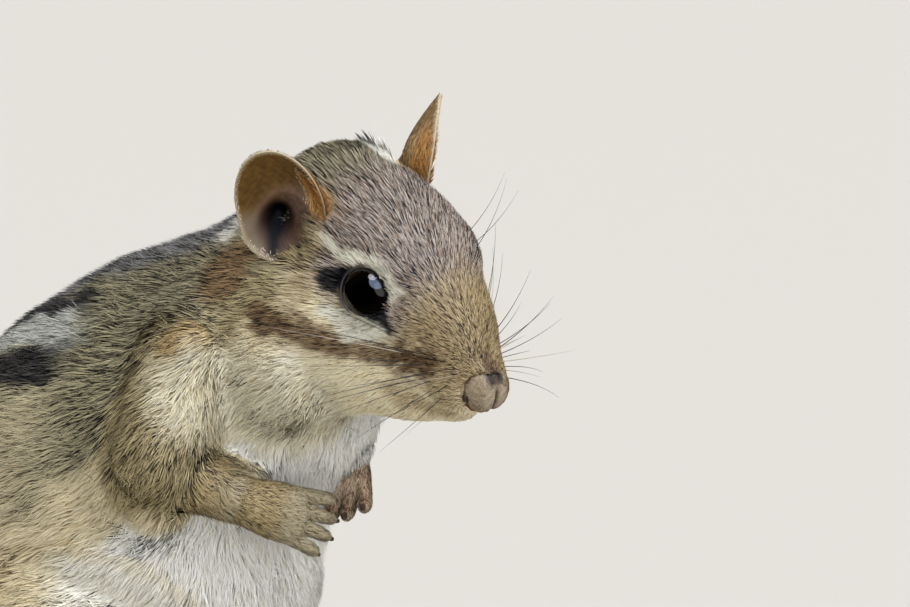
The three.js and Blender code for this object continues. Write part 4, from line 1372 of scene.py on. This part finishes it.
def paw_skin(kind, side, parts, voxel, sole_way):
    """The skin and claws of a hand or foot, none of it under the floor, and the skin as ground."""
    flesh, claws = parts
    points, faces = remeshed(*joined(flesh), voxel)
    points = relaxed(points, edges_of(faces), 5)
    keep_above(points, SKIN_LOW)
    shade = paw_colours(points, normals_of(points, faces), sole_way)
    piece(f"{kind}_skin_{side}", points, faces, BARE, shade, [f"{kind}_{side}"])
    ground = Ground(points, faces)
    points, faces = joined(claws)
    keep_above(points, SKIN_LOW)
    horn = rows_of((0.30, 0.23, 0.18), len(points))
    piece(f"{kind}_claws_{side}", points, faces, CLAW, horn)
    return ground


for number, (s, side) in enumerate(SIDES):
    forward = unit(FINGERS[side])
    palm_way = unit(PALMS[side])
    ground = paw_skin("hand", side, hand_parts(side, forward, palm_way), PAW_VOXEL, palm_way)
    paw_coat(f"coat_hand_{side}", ground, forward, palm_way, 1.35, 38, 60 + number, palm=0.6)
    ground = paw_skin("foot", side, foot_parts(side), PAW_VOXEL * 1.3, -UP)
    paw_coat(f"coat_foot_{side}", ground, unit((31, 2.5 * s, -2.6)), -UP, 2.2, 11, 70 + number)


# Tail


tail_line = smooth_line(TAIL_LINE, 60)


def tail_at(t):
    """Place, way, across and upward at shares t of the tail, carried straight on past its end."""
    inside = np.clip(t, 0, 1) * (len(tail_line) - 1)
    steps = np.arange(len(tail_line))
    ways = unit(np.gradient(tail_line, axis=0))
    place = np.stack([np.interp(inside, steps, column) for column in tail_line.T], 1)
    way = unit(np.stack([np.interp(inside, steps, column) for column in ways.T], 1))
    total = np.linalg.norm(np.diff(tail_line, axis=0), axis=1).sum()
    place = place + way * (np.maximum(t - 1, 0) * total)[:, None]
    across = unit(np.cross(UP, way))
    return place, way, across, np.cross(way, across), total


def tail_skin():
    t = np.linspace(0, 0.97, 60)
    place = tail_at(t)[0]
    share = (0.8 + rise(0, 0.15, t) * (TAIL_CORE - 0.8)) * (1 - 0.6 * rise(0.86, 1, t))
    wide = share * np.interp(t, TAIL_STATIONS, TAIL_WIDTH)
    high = share * np.interp(t, TAIL_STATIONS, TAIL_HEIGHT)
    return tube(np.column_stack([place, wide, high]), UP, 24)


points, faces = tail_skin()
shade = rows_of((0.36, 0.24, 0.14), len(points))
piece("tail_skin", points, faces, SKIN, shade, ["tail_base", "tail_middle", "tail_end"])


def tail_hairs(name, count, seed, low, high):
    """Long banded hairs that lie back along the tail and open out to its edges."""
    rng = np.random.default_rng(seed)
    t = rng.uniform(low, high, count)
    angle = rng.uniform(0, 2 * math.pi, count)
    place, way, across, upward, total = tail_at(t)
    span = rng.uniform(9, 15, count) * (0.75 + 0.25 * rise(0, 0.2, t)) / total

    def joint(share, out):
        s = np.minimum(t + share * span, 1.0 + 0.03 * share)
        here, _, side, top, _ = tail_at(s)
        out = out * (1 - 0.85 * rise(0.86, 1.03, s))
        wide = out * np.interp(s, TAIL_STATIONS, TAIL_WIDTH)
        tall = out * np.interp(s, TAIL_STATIONS, TAIL_HEIGHT)
        drift = 0.07 * share * rng.normal(size=count)
        off = side * (wide * np.cos(angle + drift))[:, None]
        return here + off + top * (tall * np.sin(angle + drift))[:, None]

    flare = rng.uniform(0.78, 1.02, count)
    core = TAIL_CORE * 0.85 + rise(0.14, 0, t) * 0.35
    middle = joint(0.5, core + (flare - core) * 0.55)
    tip = joint(1.0, flare)
    root = joint(0.0, core)
    out = unit(middle - place)
    rows = wedges(root, middle, tip, out, rng.uniform(0.24, 0.4, count))
    keep_above(rows, HAIR_LOW)
    above = rise(-0.35, 0.2, np.sin(angle))[:, None]
    rufous = np.array((0.62, 0.38, 0.19))
    black = np.array((0.11, 0.09, 0.08))
    frost = np.array((0.78, 0.72, 0.60))
    draw = rng.random(count)[:, None]
    middle_shade = rufous + above * (black - rufous) * (draw < 0.7)
    tip_shade = rufous * 1.15 + above * (np.where(draw < 0.5, frost, black) - rufous * 1.15)
    # Roots darker: partly underfur colour, partly painted shade deep in the tail's hair.
    root_underfur_and_shade = rows_of(rufous * 0.55, count)
    shades = [root_underfur_and_shade, middle_shade, tip_shade]
    hair_piece(name, rows, out, shades, np.stack([t, angle], 1))


tail_hairs("coat_tail_front", 11000, 81, 0.0, 0.5)
tail_hairs("coat_tail_back", 11000, 82, 0.5, 0.99)


# Whiskers


def whiskers():
    """Long hairs from the muzzle pads, over the eyes and under the chin."""
    rng = np.random.default_rng(90)
    dark = (0.12, 0.1, 0.1)
    parts = []
    shades = []

    def grow(root, way, reach, droop, thick, shade):
        t = np.linspace(0, 1, 9)[:, None]
        way = unit(np.array(way) + 0.1 * rng.normal(size=3))
        line = np.array(root) + reach * (t * way + t * t * np.array(droop))
        wide = thick * (1 - 0.85 * t[:, 0])
        points, faces = tube(np.column_stack([on_head(line), wide, wide]), HEAD[:, 2], 5)
        parts.append((points, faces))
        shades.append(rows_of(shade, len(points)))

    for s in (1, -1):
        for row in range(4):
            for place in range(5):
                root = (-5.2 - 1.5 * place, s * (3.2 + 0.42 * place), 0.6 - 1.15 * row)
                way = (0.25 - 0.28 * place, s, 0.35 - 0.22 * row)
                reach = rng.uniform(13, 22) * (0.75 + 0.1 * place)
                shade = (0.7, 0.66, 0.6) if rng.random() < 0.3 else dark
                grow(root, way, reach, (-0.22, 0, -0.05 - 0.1 * row), 0.075, shade)
        for place in range(3):
            root = (-16.5 - 1.4 * place, s * 5.2, 8.6 + 0.3 * place)
            grow(root, (0.1, 0.7 * s, 0.8), 12, (-0.3, 0, 0), 0.06, dark)
        for place in range(6):
            root = (-8 - 1.5 * place, s * (1.2 + 0.3 * place), -7 - 0.6 * place)
            reach = rng.uniform(6, 10)
            grow(root, (0.1 - 0.1 * place, 0.3 * s, -1), reach, (-0.3, 0, 0), 0.05, (0.86, 0.84, 0.8))
    points, faces = joined(parts)
    return points, faces, np.vstack(shades)


points, faces, shade = whiskers()
piece("whiskers", points, faces, WHISKER, shade)


# Floor, light and camera

PIXELS_PER_MM = 7.3
FRAME_SIZE = (910, 607)
NOSE_PIXEL = (498, 388)
CAMERA_AZIMUTH = 33.0
CAMERA_ELEVATION = 4.0
CAMERA_FAR = 1500.0
SENSOR = 36.0


def aimed(thing, place, target):
    thing.location = Vector(place)
    thing.rotation_euler = (Vector(target) - Vector(place)).to_track_quat("-Z", "Y").to_euler()


def way_to(azimuth, elevation):
    a = math.radians(azimuth)
    e = math.radians(elevation)
    return np.array((math.sin(a) * math.cos(e), -math.cos(a) * math.cos(e), math.sin(e)))


def set_camera():
    back = way_to(CAMERA_AZIMUTH, CAMERA_ELEVATION)
    right = unit(np.cross(UP, back))
    over, under = (np.array(NOSE_PIXEL) - np.array(FRAME_SIZE) / 2) / PIXELS_PER_MM
    centre = NOSE - right * over + np.cross(back, right) * under
    data = bpy.data.cameras.new("camera")
    data.sensor_width = SENSOR
    data.lens = SENSOR * CAMERA_FAR / (FRAME_SIZE[0] / PIXELS_PER_MM)
    data.clip_end = 100
    camera = placed("camera", data)
    aimed(camera, (centre + back * CAMERA_FAR + SHIFT) * METRE, (centre + SHIFT) * METRE)
    bpy.context.scene.camera = camera


def lamp(name, kind, azimuth, elevation, power, colour, far=1.5, size=0.5):
    """A soft sun, or a disk that only shiny surfaces mirror."""
    data = bpy.data.lights.new(name, kind)
    data.energy = power
    data.color = colour
    made = placed(name, data)
    target = (np.array((-20, -8, 60)) + SHIFT) * METRE
    aimed(made, target + way_to(azimuth, elevation) * far, target)
    if kind == "SUN":
        data.angle = math.radians(size)
    else:
        data.shape = "DISK"
        data.size = size
        made.visible_diffuse = False


def set_stage():
    bpy.ops.mesh.primitive_circle_add(vertices=128, radius=60, fill_type="NGON")
    floor = bpy.context.object
    floor.name = "floor"
    paper = grained(finish("pale_paper", 0.95, colour=(0.78, 0.77, 0.75), specular=0.1), 60, 0.2)
    floor.data.materials.append(paper)
    floor.visible_glossy = False
    world = bpy.data.worlds.new("studio")
    bpy.context.scene.world = world
    world.use_nodes = True
    sky = world.node_tree.nodes["Background"]
    sky.inputs["Color"].default_value = (0.92, 0.93, 0.95, 1)
    sky.inputs["Strength"].default_value = 0.87
    world.cycles_visibility.glossy = False
    lamp("key", "SUN", 40, 58, 1.5, (1.0, 0.97, 0.93), size=28)
    lamp("rim", "SUN", 215, 50, 0.5, (1.0, 0.98, 0.95), size=40)
    lamp("front", "SUN", 75, 12, 0.95, (1.0, 0.99, 0.97), size=60)
    lamp("mirrored_window", "AREA", 56, 37, 5, (0.50, 0.68, 1.0), far=0.6, size=0.6)
    bpy.context.scene.view_settings.view_transform = "Standard"


set_camera()
set_stage()
